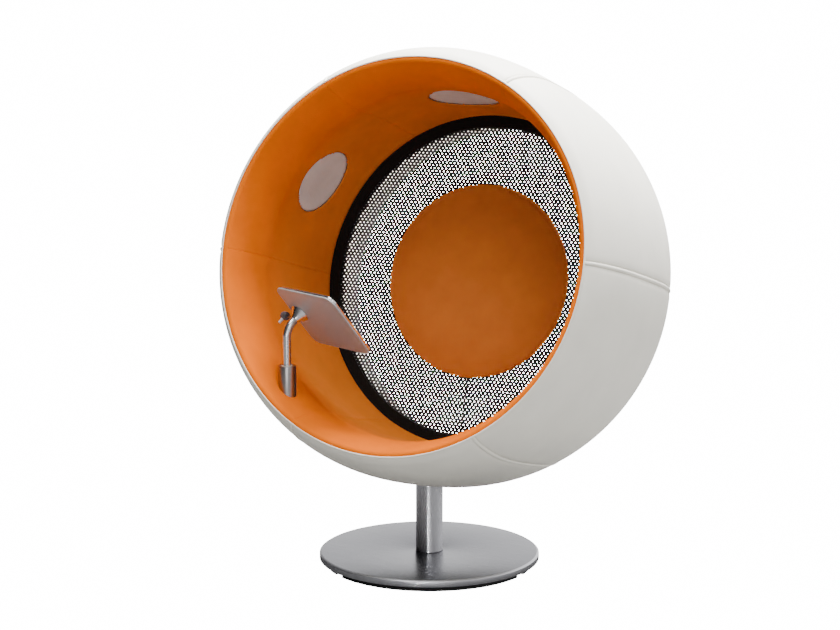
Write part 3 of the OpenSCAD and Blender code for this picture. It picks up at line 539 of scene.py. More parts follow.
def set_out_tree():
    """Geometry Nodes: a stamp on each point of a mesh, turned by the point's own angles."""
    tree = bpy.data.node_groups.new("Set out on points", "GeometryNodeTree")
    face = tree.interface
    face.new_socket("Geometry", in_out="INPUT", socket_type="NodeSocketGeometry")
    face.new_socket("Stamp", in_out="INPUT", socket_type="NodeSocketObject")
    face.new_socket("Size", in_out="INPUT", socket_type="NodeSocketFloat").default_value = 1.0
    face.new_socket("Finish", in_out="INPUT", socket_type="NodeSocketMaterial")
    face.new_socket("Geometry", in_out="OUTPUT", socket_type="NodeSocketGeometry")
    given = add(tree, "NodeGroupInput")
    stamp = add(tree, "GeometryNodeObjectInfo", links={"Object": given.outputs["Stamp"]})
    turn = add(tree, "GeometryNodeInputNamedAttribute", {"Name": "turn"}, data_type="FLOAT_VECTOR")
    rotation = add(tree, "FunctionNodeEulerToRotation", links={0: turn.outputs["Attribute"]})
    placed = add(
        tree,
        "GeometryNodeInstanceOnPoints",
        links={
            "Points": given.outputs["Geometry"],
            "Instance": stamp.outputs["Geometry"],
            "Rotation": rotation.outputs[0],
            "Scale": given.outputs["Size"],
        },
    )
    real = add(tree, "GeometryNodeRealizeInstances", links={"Geometry": placed.outputs["Instances"]})
    paint = {"Geometry": real.outputs[0], "Material": given.outputs["Finish"]}
    painted = add(tree, "GeometryNodeSetMaterial", links=paint)
    add(tree, "NodeGroupOutput", links={"Geometry": painted.outputs[0]})
    return tree


def net_tree():
    """Geometry Nodes: rows of net cells between two radii, every other row half a pitch along."""
    tree = bpy.data.node_groups.new("Net of cells", "GeometryNodeTree")
    face = tree.interface
    face.new_socket("Geometry", in_out="INPUT", socket_type="NodeSocketGeometry")
    face.new_socket("Cell", in_out="INPUT", socket_type="NodeSocketObject")
    for name in ("Pitch", "Row", "Inner radius", "Outer radius"):
        face.new_socket(name, in_out="INPUT", socket_type="NodeSocketFloat")
    for name in ("Columns", "Rows"):
        face.new_socket(name, in_out="INPUT", socket_type="NodeSocketInt")
    face.new_socket("Finish", in_out="INPUT", socket_type="NodeSocketMaterial")
    face.new_socket("Geometry", in_out="OUTPUT", socket_type="NodeSocketGeometry")
    given = add(tree, "NodeGroupInput")

    def math_node(operation, a, b):
        made = add(tree, "ShaderNodeMath", operation=operation)
        for index, value in ((0, a), (1, b)):
            if isinstance(value, (int, float)):
                made.inputs[index].default_value = value
            else:
                tree.links.new(value, made.inputs[index])
        return made.outputs[0]

    columns, rows = given.outputs["Columns"], given.outputs["Rows"]
    line = add(tree, "GeometryNodeMeshLine", links={"Count": math_node("MULTIPLY", columns, rows)})
    index = add(tree, "GeometryNodeInputIndex").outputs[0]
    row = math_node("FLOOR", math_node("DIVIDE", math_node("ADD", index, 0.5), columns), 0.0)
    column = math_node("SUBTRACT", index, math_node("MULTIPLY", row, columns))
    half = math_node("MULTIPLY", math_node("MODULO", row, 2.0), 0.5)
    centred = math_node("SUBTRACT", math_node("ADD", column, half), math_node("DIVIDE", columns, 2.0))
    x = math_node("MULTIPLY", centred, given.outputs["Pitch"])
    middle_row = math_node("DIVIDE", rows, 2.0)
    y = math_node("MULTIPLY", math_node("SUBTRACT", row, middle_row), given.outputs["Row"])
    place = add(tree, "ShaderNodeCombineXYZ", links={"X": x, "Y": y})
    spot = {"Geometry": line.outputs["Mesh"], "Position": place.outputs[0]}
    moved = add(tree, "GeometryNodeSetPosition", links=spot)
    squares = math_node("ADD", math_node("MULTIPLY", x, x), math_node("MULTIPLY", y, y))
    radius = math_node("SQRT", squares, 0.0)
    near = math_node("LESS_THAN", radius, given.outputs["Inner radius"])
    far = math_node("GREATER_THAN", radius, given.outputs["Outer radius"])
    kept = add(
        tree,
        "GeometryNodeDeleteGeometry",
        links={"Geometry": moved.outputs[0], "Selection": math_node("ADD", near, far)},
        domain="POINT",
    )
    cell = add(tree, "GeometryNodeObjectInfo", links={"Object": given.outputs["Cell"]})
    stamps = {"Points": kept.outputs[0], "Instance": cell.outputs["Geometry"]}
    placed = add(tree, "GeometryNodeInstanceOnPoints", links=stamps)
    real = add(tree, "GeometryNodeRealizeInstances", links={"Geometry": placed.outputs[0]})
    joined = add(tree, "GeometryNodeMergeByDistance", {"Distance": 0.00005}, {"Geometry": real.outputs[0]})
    paint = {"Geometry": joined.outputs[0], "Material": given.outputs["Finish"]}
    painted = add(tree, "GeometryNodeSetMaterial", links=paint)
    add(tree, "NodeGroupOutput", links={"Geometry": painted.outputs[0]})
    return tree


def grown(name, base, tree, inputs):
    """Runs a node tree on a mesh and returns the result as a plain mesh."""
    carrier = bpy.data.objects.new(name + "_carrier", base)
    bpy.context.scene.collection.objects.link(carrier)
    modifier = carrier.modifiers.new("Nodes", "NODES")
    modifier.node_group = tree
    sockets = {item.name: item.identifier for item in tree.interface.items_tree if item.in_out == "INPUT"}
    for key, value in inputs.items():
        modifier[sockets[key]] = value
    ready = carrier.evaluated_get(bpy.context.evaluated_depsgraph_get())
    mesh = bpy.data.meshes.new_from_object(ready)
    mesh.name = name
    bpy.data.objects.remove(carrier)
    return mesh


def set_out(name, places, stamp_mesh, finish, body, replaces=()):
    """Sets a stamp out on many places, each a 4x4 matrix, and joins them into one piece."""
    base = mesh_from(name + "_places", [m.to_translation() for m in places], [])
    turn = base.attributes.new("turn", "FLOAT_VECTOR", "POINT")
    turn.data.foreach_set("vector", [c for m in places for c in m.to_euler("XYZ")])
    stamp = bpy.data.objects.new(name + "_stamp", stamp_mesh)
    bpy.context.scene.collection.objects.link(stamp)
    mesh = grown(name, base, TREES["set_out"], {"Stamp": stamp, "Finish": finish})
    bpy.data.objects.remove(stamp)
    mesh.polygons.foreach_set("use_smooth", [True] * len(mesh.polygons))
    return piece(name, mesh, finish, body, replaces)


def thread_stamp(name, length, width):
    """One stitch: a short thread with rounded ends that dips at both ends. It lies along X, with Z up."""
    sides = 5
    # (share of the length, share of the width, lift in half widths)
    stations = [(-0.5, 0.25, -0.5), (-0.32, 0.85, 0.1), (0.32, 0.85, 0.1), (0.5, 0.25, -0.5)]
    points = [
        (along * length, math.cos(a) * share * width / 2, math.sin(a) * share * width / 2 + lift * width / 2)
        for along, share, lift in stations
        for a in turns(sides)
    ]
    faces = flipped(quads(len(stations), sides))
    faces.append(tuple(range(sides)))
    faces.append(tuple(reversed(range((len(stations) - 1) * sides, len(stations) * sides))))
    return outwards(mesh_from(name, points, faces))


def along_surface(point, ahead, up):
    """A matrix at a point, with X ahead and Z up from the surface."""
    x = ahead.normalized()
    z = (up - x * up.dot(x)).normalized()
    y = z.cross(x)
    return Matrix(
        ((x.x, y.x, z.x, point.x), (x.y, y.y, z.y, point.y), (x.z, y.z, z.z, point.z), (0, 0, 0, 1))
    )


# Cover


# how far a seam draws the leather in on each side, in half widths of its band
SEAM_REACH = 4.2
# the cover is open round the column, within this radius
COLUMN_HOLE = 0.049


def seam_angle(number):
    """Angle of a seam round the pod, from +X."""
    return POD.seam_turn + 2 * math.pi * number / POD.seams


def near_column(point, radius):
    """Whether a point is on the pod's underside and within a radius of the column's axis."""
    underside = 0.45
    return point.z < underside and point.xy.length < radius


def cover_outline():
    """(r, s) from inside the rear lip, round the outside, to inside the front edge."""
    o = OUTLINE
    rear = arc(o.roll, ROLL_R, 1.5 * math.pi, o.roll_a, 14)
    side = [(outer(s), s) for s in np.linspace(ROLL_S, SHOULDER_S, 150)[1:-1]]
    front = arc(o.shoulder, SHOULDER_R, o.shoulder_a, o.rim_a, 10)
    tuck = 0.006
    start = (o.roll[0] - ROLL_R, o.roll[1] + tuck)
    end = (o.rim_r - 0.0015, RIM_S - tuck)
    return [start] + rear + side + front + [end]


def cover_normals(outline):
    """The cover's outward direction (r, s) at each point of its outline."""
    last = len(outline) - 1
    ways = [(outline[min(i + 1, last)] - outline[max(i - 1, 0)]).normalized() for i in range(last + 1)]
    return [Vector((t.y, -t.x)) for t in ways]


def seam_profile():
    """Offsets across one seam: (distance in metres, height above the leather)."""
    half = [
        (0.0, 0.0011), (0.3, 0.0009), (0.6, 0.0000), (0.85, -0.0028), (1.0, -0.0040), (1.15, -0.0034),
        (1.45, -0.0018), (2.0, -0.0010), (3.0, -0.0003), (SEAM_REACH, 0.0),
    ]
    w = POD.band / 2
    return [(-x * w, height) for x, height in half[:0:-1]] + [(x * w, height) for x, height in half]


def cover_columns():
    """(angle, height) of each line of points along the cover, dense across the seams."""
    edge = SEAM_REACH * POD.band / 2 / POD.radius
    free, lines = 2 * math.pi / POD.seams - 2 * edge, 22
    columns = []
    for k in range(POD.seams):
        columns += [(seam_angle(k) + offset / POD.radius, height) for offset, height in seam_profile()]
        columns += [(seam_angle(k) + edge + free * i / lines, 0.0) for i in range(1, lines)]
    return columns


def open_round_column(mesh, matrix):
    """Cuts the hole round the column: finer faces there, then the edge drawn onto its circle."""
    fine, drawn, longest, snap = 0.13, 0.16, 0.012, 0.0045
    inverse = matrix.inverted()
    with edited(mesh) as bm:
        near = [f for f in bm.faces if near_column(f.calc_center_median(), fine)]
        edges = list({e for f in near for e in f.edges if e.calc_length() > longest})
        bmesh.ops.subdivide_edges(bm, edges=edges, cuts=5, use_grid_fill=True)
        # points that are left 3 mm or more off the round surface are drawn onto it
        for v in bm.verts:
            if not near_column(v.co, drawn):
                continue
            local = inverse @ v.co
            radius = math.hypot(local.x, local.y)
            target = outer(local.z)
            if abs(target - radius) >= 0.003:
                local.x, local.y = local.x * target / radius, local.y * target / radius
                v.co = matrix @ local
        for v in bm.verts:
            if near_column(v.co, COLUMN_HOLE + snap) and v.co.xy.length > COLUMN_HOLE - snap:
                v.co.xy = v.co.xy.normalized() * COLUMN_HOLE
        gone = [f for f in bm.faces if near_column(f.calc_center_median(), COLUMN_HOLE)]
        bmesh.ops.delete(bm, geom=gone, context="FACES")
        bmesh.ops.recalc_face_normals(bm, faces=bm.faces)


def stitch_places(outline, normals, matrix):
    """Places of all stitches, in both grooves of each band, from the rear lip to the front edge."""
    pitch, sink, clear = 0.0065, -0.0030, 0.01
    turn = matrix.to_3x3()

    def in_seam(p, a):
        return Vector((p.x * math.cos(a), p.x * math.sin(a), p.y))

    places = []
    for k in range(POD.seams):
        for side in (-1, 1):
            a = seam_angle(k) + side * POD.band / 2 / POD.radius
            run = 0.0
            for i in range(1, len(outline) - 2):
                step, up = outline[i + 1] - outline[i], normals[i]
                while run < step.length:
                    point = matrix @ in_seam(outline[i] + step * (run / step.length) + up * sink, a)
                    if not near_column(point, COLUMN_HOLE + clear):
                        ahead = turn @ in_seam(step.normalized(), a)
                        places.append(along_surface(point, ahead, turn @ in_seam(up, a)))
                    run += pitch
                run -= step.length
    return places


def build_cover():
    """One leather skin with a raised band and two stitched grooves over each of the six seams."""
    matrix = pod_matrix()
    outline = [Vector(p) for p in cover_outline()]
    normals = cover_normals(outline)
    columns = cover_columns()
    points = []
    for p, n in zip(outline, normals):
        for a, height in columns:
            r, s = p.x + n.x * height, p.y + n.y * height
            points.append(matrix @ Vector((r * math.cos(a), r * math.sin(a), s)))
    mesh = mesh_from("cover_leather", points, quads(len(outline), len(columns)))
    open_round_column(mesh, matrix)
    centre = matrix @ Vector((0, 0, PEAK))
    face = mesh.polygons[len(mesh.polygons) // 2]
    if face.normal.dot(Vector(face.center) - centre) < 0:
        mesh.flip_normals()
    stands_for = [f"cover_panel_{i}" for i in range(1, POD.seams + 1)] + ["cover_strips"]
    cover = piece("cover_leather", mesh, FINISH["leather"], "pod", stands_for)
    # the leather's own thickness shows at both edges
    solidify(cover, "Thickness", 0.0015, -1)
    places = stitch_places(outline, normals, matrix)
    stitch = thread_stamp("stitch", 0.0052, 0.0016)
    set_out("cover_stitches", places, stitch, FINISH["thread"], "pod")


def build_piping():
    """The cord between cover and lining."""
    o = OUTLINE
    radius, gap, points = 0.0025, 0.0003, 13
    r = o.rim_r + (radius + gap) * math.sin(o.rim_a)
    s = RIM_S + (radius + gap) * math.cos(o.rim_a)
    cord = [(r + radius * math.sin(a), s + radius * math.cos(a)) for a in np.linspace(0, 2 * math.pi, points)]
    welt = turned("front_piping", cord, pod_matrix(), 240)
    piece("front_piping", welt, FINISH["leather"], "pod", ["front_welt"])


# Lining


def window_angles():
    """Angles of the three windows, each in the middle of its panel."""
    return [POD.seam_turn + 2 * math.pi / POD.seams * (i + 0.5) for i in range(3)]


def lining_outline():
    """(r, s) of the lining from the net's ring, over the lip, to the piping."""
    o = OUTLINE
    side = [(o.lining(s), s) for s in np.linspace(RING_S + 0.0004, o.lip_end[1], 104)[:-1]]
    lip = arc(o.lip, LIP_R, o.lip_a, o.rim_a, 12)
    return side + lip


# the arm's socket: its middle on plan, its radius, and the heights of its top and foot
SOCKET = (-0.381, -0.276)
SOCKET_R, SOCKET_TOP, SOCKET_FOOT = 0.030, 0.683, 0.530
# places of a panel's points across it, closer together at its seams
SEAM_SHARES = [0.0, 0.0015, 0.004, 0.009, 0.016]
PANEL_SHARES = np.concatenate(
    [SEAM_SHARES, np.linspace(0.026, 0.974, 92), [1 - share for share in reversed(SEAM_SHARES)]]
)


def panel_points(outline, number):
    """One panel's points, row by row from the net's ring to the lip, crowned between its seams."""
    span = 2 * math.pi / POD.seams
    start = POD.seam_turn + span * number
    rows, lip_rows = len(outline), 13
    seam_low, seam_reach, crown, crown_reach = 0.0005, 0.003, 0.0008, 0.06
    uneven, uneven_reach, held, held_reach = 0.0010, 0.05, 0.004, 0.02
    points = []
    for i, (r, s) in enumerate(outline):
        before, after = outline[max(i - 1, 0)], outline[min(i + 1, rows - 1)]
        t = Vector((after[0] - before[0], after[1] - before[1])).normalized()
        n = Vector((-t.y, t.x))  # into the pod
        for share in PANEL_SHARES:
            edge = min(share, 1 - share) * span * r
            # the seam lies half a millimetre low, and the foam rises slowly beside it
            height = -seam_low * math.exp(-((edge / seam_reach) ** 1.2))
            height += crown * (1 - math.exp(-edge / crown_reach))
            # a hair of space is left between one panel and the next
            a = start + span * (0.0002 + 0.9996 * share)
            soft = noise.noise(Vector((math.cos(a) * r * 6, math.sin(a) * r * 6, s * 6)))
            height += uneven * soft * min(1.0, edge / uneven_reach)
            # it is held down at the net's ring, and runs out to nothing over the lip
            ending = min(1.0, (s - RING_S) / held_reach) if i < rows // 2 else 1.0
            height -= held * (1 - ending) ** 2
            if i > rows - lip_rows - 1:
                height *= max(0.0, (rows - 1 - i) / lip_rows)
            q = (r + n.x * height, s + n.y * height)
            points.append(Vector((q[0] * math.cos(a), q[0] * math.sin(a), q[1])))
    return points


def window_plane(w):
    """The directions out of the pod and across, for the window at angle w."""
    return Vector((math.cos(w), math.sin(w), 0)), Vector((-math.sin(w), math.cos(w), 0))


def draw_onto_window(points, w):
    """Draws the points nearest to a window's edge onto its circle."""
    half_step, radius = 0.0036, POD.window / 2
    radial, across = window_plane(w)
    for p in points:
        flat = Vector((p.dot(across), p.z - WINDOW_S))
        if p.dot(radial) > 0 and abs(flat.length - radius) < half_step:
            g = flat.normalized() * radius
            s = WINDOW_S + g.y
            r = OUTLINE.lining(s)
            q = radial * math.sqrt(r * r - g.x * g.x) + across * g.x
            p.x, p.y, p.z = q.x, q.y, s


def in_window(corners, w):
    """Whether the middle of a face lies within the window at angle w."""
    radial, across = window_plane(w)
    middle = sum(corners, Vector()) / len(corners)
    flat = Vector((middle.dot(across), middle.z - WINDOW_S))
    return flat.length < POD.window / 2 - 0.0002 and middle.dot(radial) > 0


def sink_round_socket(points):
    """The lining sinks a little round the arm's socket."""
    above, around, depth, fade = 0.75, 0.05, 0.004, 0.012
    for p in points:
        reach = math.hypot(p.x - SOCKET[0], p.y - SOCKET[1]) - SOCKET_R
        if p.z < above and reach < around:
            p.z -= depth * math.exp(-max(0.0, reach) / fade)


def build_lining():
    """Six padded panels, crowned between their seams, with three round windows."""
    outline = lining_outline()
    matrix = pod_matrix()
    windows = window_angles()
    for number in range(POD.seams):
        points = panel_points(outline, number)
        faces = flipped(quads(len(outline), len(PANEL_SHARES), closed=False))
        if number < len(windows):
            w = windows[number]
            draw_onto_window(points, w)
            faces = [face for face in faces if not in_window([points[j] for j in face], w)]
        points = [matrix @ p for p in points]
        sink_round_socket(points)
        name = f"lining_panel_{number + 1}"
        mesh = mesh_from(name + "_cloth", points, faces)
        with edited(mesh) as bm:
            bmesh.ops.remove_doubles(bm, verts=bm.verts, dist=1e-6)
            loose = [v for v in bm.verts if not v.link_faces]
            bmesh.ops.delete(bm, geom=loose, context="VERTS")
            bm.normal_update()
            sample = next(iter(bm.faces))
            local = matrix.inverted() @ sample.calc_center_median()
            inward = matrix.to_3x3() @ Vector((-local.x, -local.y, 0))
            if sample.normal.dot(inward) < 0:
                bmesh.ops.reverse_faces(bm, faces=bm.faces)
        panel = piece(name + "_cloth", mesh, FINISH["lining"], "pod", [name])
        solidify(panel, "Foam", 0.006, -1)


def on_lining(w, rho, phi, sink):
    """A point of the window at angle w, rho and phi from its middle, behind the lining by sink."""
    across, along = rho * math.cos(phi), rho * math.sin(phi)
    s = WINDOW_S + along
    r = OUTLINE.lining(s) + sink
    out = math.sqrt(r * r - across * across)
    x, y = out * math.cos(w) - across * math.sin(w), out * math.sin(w) + across * math.cos(w)
    return pod_matrix() @ Vector((x, y, s))


def build_windows():
    """Cloth over the loudspeakers, flush with the lining, in a thin dark ring."""
    radius = POD.window / 2 - 0.0008
    rings, steps = 22, 96
    # the cloth is flat and dips at its edge
    sinks = [0.0035] * (rings - 2) + [0.0037, 0.006]
    points, faces = [], []
    for w in window_angles():
        base = len(points)
        points.append(on_lining(w, 0, 0, sinks[0]))
        for i, sink in enumerate(sinks):
            points += [on_lining(w, radius * (i + 1) / rings, phi, sink) for phi in turns(steps)]
        faces += [(base, base + 1 + k, base + 1 + (k + 1) % steps) for k in range(steps)]
        faces += flipped(quads(rings, steps), base + 1)
    mesh = mesh_from("speaker_cloths", points, faces)
    cloth = piece("speaker_cloths", mesh, FINISH["grille"], "pod", ["speaker_grilles"])
    solidify(cloth, "Thickness", 0.002, 0)
    # the ring that holds each cloth
    points, faces = [], []
    steps, around, half_width, half_depth, sink = 120, 8, 0.0012, 0.0014, 0.0022
    for w in window_angles():
        base = len(points)
        for phi in turns(steps):
            for a in turns(around):
                rho = radius - 0.0002 + half_width * math.cos(a)
                points.append(on_lining(w, rho, phi, sink + half_depth * math.sin(a)))
        for face in flipped(quads(steps + 1, around)):
            faces.append(tuple(base + corner % (steps * around) for corner in face))
    rings_mesh = outwards(mesh_from("speaker_rings", points, faces))
    piece("speaker_rings", rings_mesh, FINISH["ring"], "pod")


# Net and back pad


def net_cell(pitch, row, hole, thick):
    """One cell: a six-sided tile with a hole through it, which meets its neighbours edge to edge."""
    # corners of the tile that the staggered rows leave
    side, squash = pitch / 2, 0.98
    apex = (row * row + side * side) / (2 * row)
    low = row - apex
    corners = [(0, apex), (-side, low), (-side, -low), (0, -apex), (side, -low), (side, low)]
    ways = [math.atan2(y, x) for x, y in corners]
    inner = [(math.cos(a) * hole / 2, math.sin(a) * hole / 2 * squash) for a in ways]
    layers = ((thick / 2, corners), (thick / 2, inner), (-thick / 2, inner), (-thick / 2, corners))
    points = [(x, y, z) for z, ring in layers for x, y in ring]
    return mesh_from("net_cell", points, quads(len(layers), len(corners)), smooth=False)


def build_net():
    """The elastic net, with every hole cut through."""
    matrix = pod_matrix()
    low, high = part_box("net")
    middle = (matrix.inverted() @ ((low + high) / 2)).z
    cell = bpy.data.objects.new("net_cell", net_cell(NET.pitch, NET.row, NET.hole, NET.thick))
    bpy.context.scene.collection.objects.link(cell)
    reach = RING_IN_R + 0.012
    inputs = {
        "Cell": cell,
        "Pitch": NET.pitch,
        "Row": NET.row,
        "Inner radius": 0.306,
        "Outer radius": reach,
        "Columns": 2 * math.ceil(reach / NET.pitch) + 2,
        "Rows": 2 * math.ceil(reach / NET.row) + 2,
        "Finish": FINISH["net"],
    }
    start = mesh_from("net_start", [(0, 0, 0)], [])
    mesh = grown("net_cords", start, TREES["net"], inputs)
    bpy.data.objects.remove(cell)
    mesh.transform(matrix @ Matrix.Translation((0, 0, middle)))
    mesh.polygons.foreach_set("use_smooth", [False] * len(mesh.polygons))
    piece("net_cords", mesh, FINISH["net"], "pod", ["net"])


# the cushion: its radius, the thickness of its edge, and the rise of its crown above that
PAD_R, PAD_EDGE, PAD_CROWN = 0.334, 0.026, 0.020
# depth of the board's face behind the net's ring, and height of the seam in the edge
PAD_SINK, PAD_SEAM = 0.008, 0.42


def blown_up(name, mesh, held, pressure, cap, voxel=0.006, frames=20):
    """Remeshes a closed cover, blows it up as cloth with its held points fixed, and caps each move."""
    scene = bpy.context.scene
    body = bpy.data.objects.new(name + "_sim", mesh)
    scene.collection.objects.link(body)
    remesh = body.modifiers.new("Remesh", "REMESH")
    remesh.mode, remesh.voxel_size = "VOXEL", voxel
    even = bpy.data.meshes.new_from_object(body.evaluated_get(bpy.context.evaluated_depsgraph_get()))
    body.modifiers.clear()
    body.data = even
    before = [v.co.copy() for v in even.vertices]
    group = body.vertex_groups.new(name="held")
    for v in even.vertices:
        weight = held(v.co)
        if weight > 0:
            group.add([v.index], weight, "REPLACE")
    cloth = body.modifiers.new("Cloth", "CLOTH")
    settings = cloth.settings
    settings.quality, settings.mass = 5, 0.3
    settings.tension_stiffness = settings.compression_stiffness = 12
    settings.shear_stiffness, settings.bending_stiffness = 5, 0.8
    settings.use_pressure, settings.uniform_pressure_force = True, pressure
    settings.effector_weights.gravity = 0
    settings.vertex_group_mass = "held"
    cloth.point_cache.frame_start, cloth.point_cache.frame_end = 1, frames
    for number in range(1, frames + 1):
        scene.frame_set(number)
    blown = bpy.data.meshes.new_from_object(body.evaluated_get(bpy.context.evaluated_depsgraph_get()))
    scene.frame_set(1)
    for v, start in zip(blown.vertices, before):
        move = v.co - start
        if move.length > cap:
            v.co = start + move.normalized() * cap
    bpy.data.objects.remove(body)
    blown.name = name
    return blown


def pad_outline(quick):
    """(r, s) of the cushion, from the middle of its crown round its edge to the middle of its back."""
    low = RING_S - PAD_SINK
    edge_s = low + PAD_EDGE * PAD_SEAM
    # the simulation stretches the cover a little, so it starts flatter and wider
    slack, rim = (0.0, PAD_R) if quick else (0.004, PAD_R + 0.0015)
    rings, spacing, fullness, roundness = 40, 0.98, 5.5, 0.55
    outline = []
    for i in range(rings):
        r = rim * math.sin(i / rings * math.pi / 2) ** spacing
        bulge = (1 - (r / rim) ** fullness) ** roundness
        crown = PAD_EDGE * (1 - PAD_SEAM) + (PAD_CROWN - slack) * (1 - (r / rim) ** 2)
        outline.append((r, edge_s + crown * bulge))
    back = low + 0.0006
    return outline + [(rim, edge_s), (rim - 0.004, low + 0.004), (rim - 0.012, back), (0.0, back)]


def build_back_pad():
    """A round cushion, blown up by a short cloth simulation between its seam and its board."""
    matrix = pod_matrix()
    inverse = matrix.inverted()
    edge_s = RING_S - PAD_SINK + PAD_EDGE * PAD_SEAM
    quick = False
    mesh = turned("back_pad_cloth", pad_outline(quick), matrix, 160)
    if not quick:
        sewn = 0.012

        def held(point):
            """How firmly a point is held: fully below the seam, and less and less inside it."""
            local = inverse @ point
            radius = math.hypot(local.x, local.y)
            if local.z < edge_s + 0.002:
                return 1.0
            return max(0.0, 1.0 - (PAD_R - radius) / sewn) if radius > PAD_R - sewn else 0.0

        mesh = blown_up("back_pad_cloth", mesh, held, 6.0, 0.024)
    # the cushion's hand-filled unevenness, and the seam drawn in round its edge
    puckers, pucker_depth, pucker_reach = 9, 0.0012, 0.03
    clouds, cloud_depth, seam_width, seam_depth = 5, 0.0016, 0.0022, 0.005
    for v in mesh.vertices:
        p = inverse @ v.co
        radius, turn = math.hypot(p.x, p.y), math.atan2(p.y, p.x)
        if p.z > edge_s + 0.001:
            near = math.exp(-((PAD_R - radius) / pucker_reach))
            pucker = noise.noise(Vector((math.cos(turn) * puckers, math.sin(turn) * puckers, 3.1)))
            cloud = noise.noise(Vector((p.x * clouds, p.y * clouds, 7.7)))
            inside = 1 - min(1.0, radius / PAD_R) ** 4
            p.z += near * pucker_depth * pucker + cloud_depth * cloud * inside
        groove = math.exp(-(((p.z - edge_s) / seam_width) ** 2)) if radius > PAD_R * 0.97 else 0.0
        p.x, p.y = p.x * (1 - seam_depth * groove), p.y * (1 - seam_depth * groove)
        v.co = matrix @ p
    mesh.polygons.foreach_set("use_smooth", [True] * len(mesh.polygons))
    pad = piece("back_pad_cloth", mesh, FINISH["pad"], "pod", ["back_pad"])
    smooth = pad.modifiers.new("Smooth", "SUBSURF")
    smooth.levels = smooth.render_levels = 1


def build_rear():
    """Behind the net: the clamp ring and the moulded cover of the back pad."""
    matrix = pod_matrix()
    far, back = RING_R + 0.028, RING_S - 0.008
    ring = [(RING_IN_R, back), (RING_IN_R, RING_S), (far, RING_S), (far, back), (RING_IN_R, back)]
    clamp = turned("net_ring", rounded(ring, 0.0015), matrix, 240)
    piece("net_ring", clamp, FINISH["net_edge"], "pod", ["clamp_ring"])
    front = RING_S - 0.0106
    dish_r, depth, corner = PAD_R * 0.94, 0.044, 0.026
    dish = [(0.0, front - depth)]
    dish += [
        (dish_r - corner + corner * math.sin(a), front - depth + corner - corner * math.cos(a))
        for a in np.linspace(0, math.pi / 2, 12)
    ]
    dish += [(dish_r, front), (dish_r - 0.004, front)]
    shell = turned("pad_back_cover", dish, matrix, 160)
    cover = piece("pad_back_cover", shell, FINISH["housing"], "pod", ["pad_back"])
    solidify(cover, "Wall", 0.002, -1)


# Stand

BASE_R, FOOT_H, BASE_T, COLUMN_R, COLUMN_TOP = 0.366, 0.018, 0.024, 0.045, 0.278


def build_stand():
    """Round base plate with a bright bevel, and the brushed column."""
    top = FOOT_H + BASE_T
    bore, bevel, drop, lower = 0.012, 0.007, 0.0045, 0.0023
    plate = [
        (bore, FOOT_H), (BASE_R - lower, FOOT_H), (BASE_R, FOOT_H + lower), (BASE_R, top - drop),
        (BASE_R - bevel, top), (bore, top), (bore, FOOT_H),
    ]
    mesh = turned("base_disc", rounded(plate, 0.0008, 2), None, 256)
    disc = piece("base_disc", mesh, FINISH["plate"], "stand", ["base_plate"])
    # the bevel and the side are ground bright
    disc.data.materials.append(FINISH["bevel"])
    for face in disc.data.polygons:
        if face.center.xy.length > BASE_R - 0.0072 and face.center.z > FOOT_H + lower:
            face.material_index = 1
    wall, lead_in = 0.004, 0.0012
    tube = [
        (COLUMN_R - wall, top), (COLUMN_R - lead_in, top), (COLUMN_R, top + lead_in),
        (COLUMN_R, COLUMN_TOP - 0.001), (COLUMN_R - 0.001, COLUMN_TOP), (COLUMN_R - wall, COLUMN_TOP),
        (COLUMN_R - wall, top),
    ]
    mesh = turned("column_steel", tube, None, 128)
    piece("column_steel", mesh, FINISH["column"], "stand", ["column_tube"])


# Arm, screen and lever

TUBE_R, BEND_Z, BEND_R, BEND, TUBE_END = 0.014, 0.7765, 0.060, math.radians(50.4), 0.010
SCREEN_YAW = math.radians(-23.7)
BELL_H, BELL_R = 0.033, 0.034
SCREEN_W, SCREEN_H, CORNER, BACK_T, GLASS_T = 0.300, 0.260, 0.032, 0.005, 0.007
BELL_LEFT, BELL_UP = 0.104, 0.018
LEVER_S, LEVER_OUT, LEVER_D, LEVER_L = BELL_H * 0.28, 0.046, 0.028, 0.024


def arm_matrix():
    """The arm's frame: Z up through the socket, Y towards the screen."""
    return Matrix.Translation((SOCKET[0], SOCKET[1], 0)) @ Matrix.Rotation(SCREEN_YAW, 4, "Z")


def head_matrix():
    """At the joint of tube and bell, with Z along the bell and X along the screen's width."""
    y = BEND_R * (1 - math.cos(BEND)) + TUBE_END * math.sin(BEND)
    z = BEND_Z + BEND_R * math.sin(BEND) + TUBE_END * math.cos(BEND)
    return arm_matrix() @ Matrix.Translation((0, y, z)) @ Matrix.Rotation(-BEND, 4, "X")


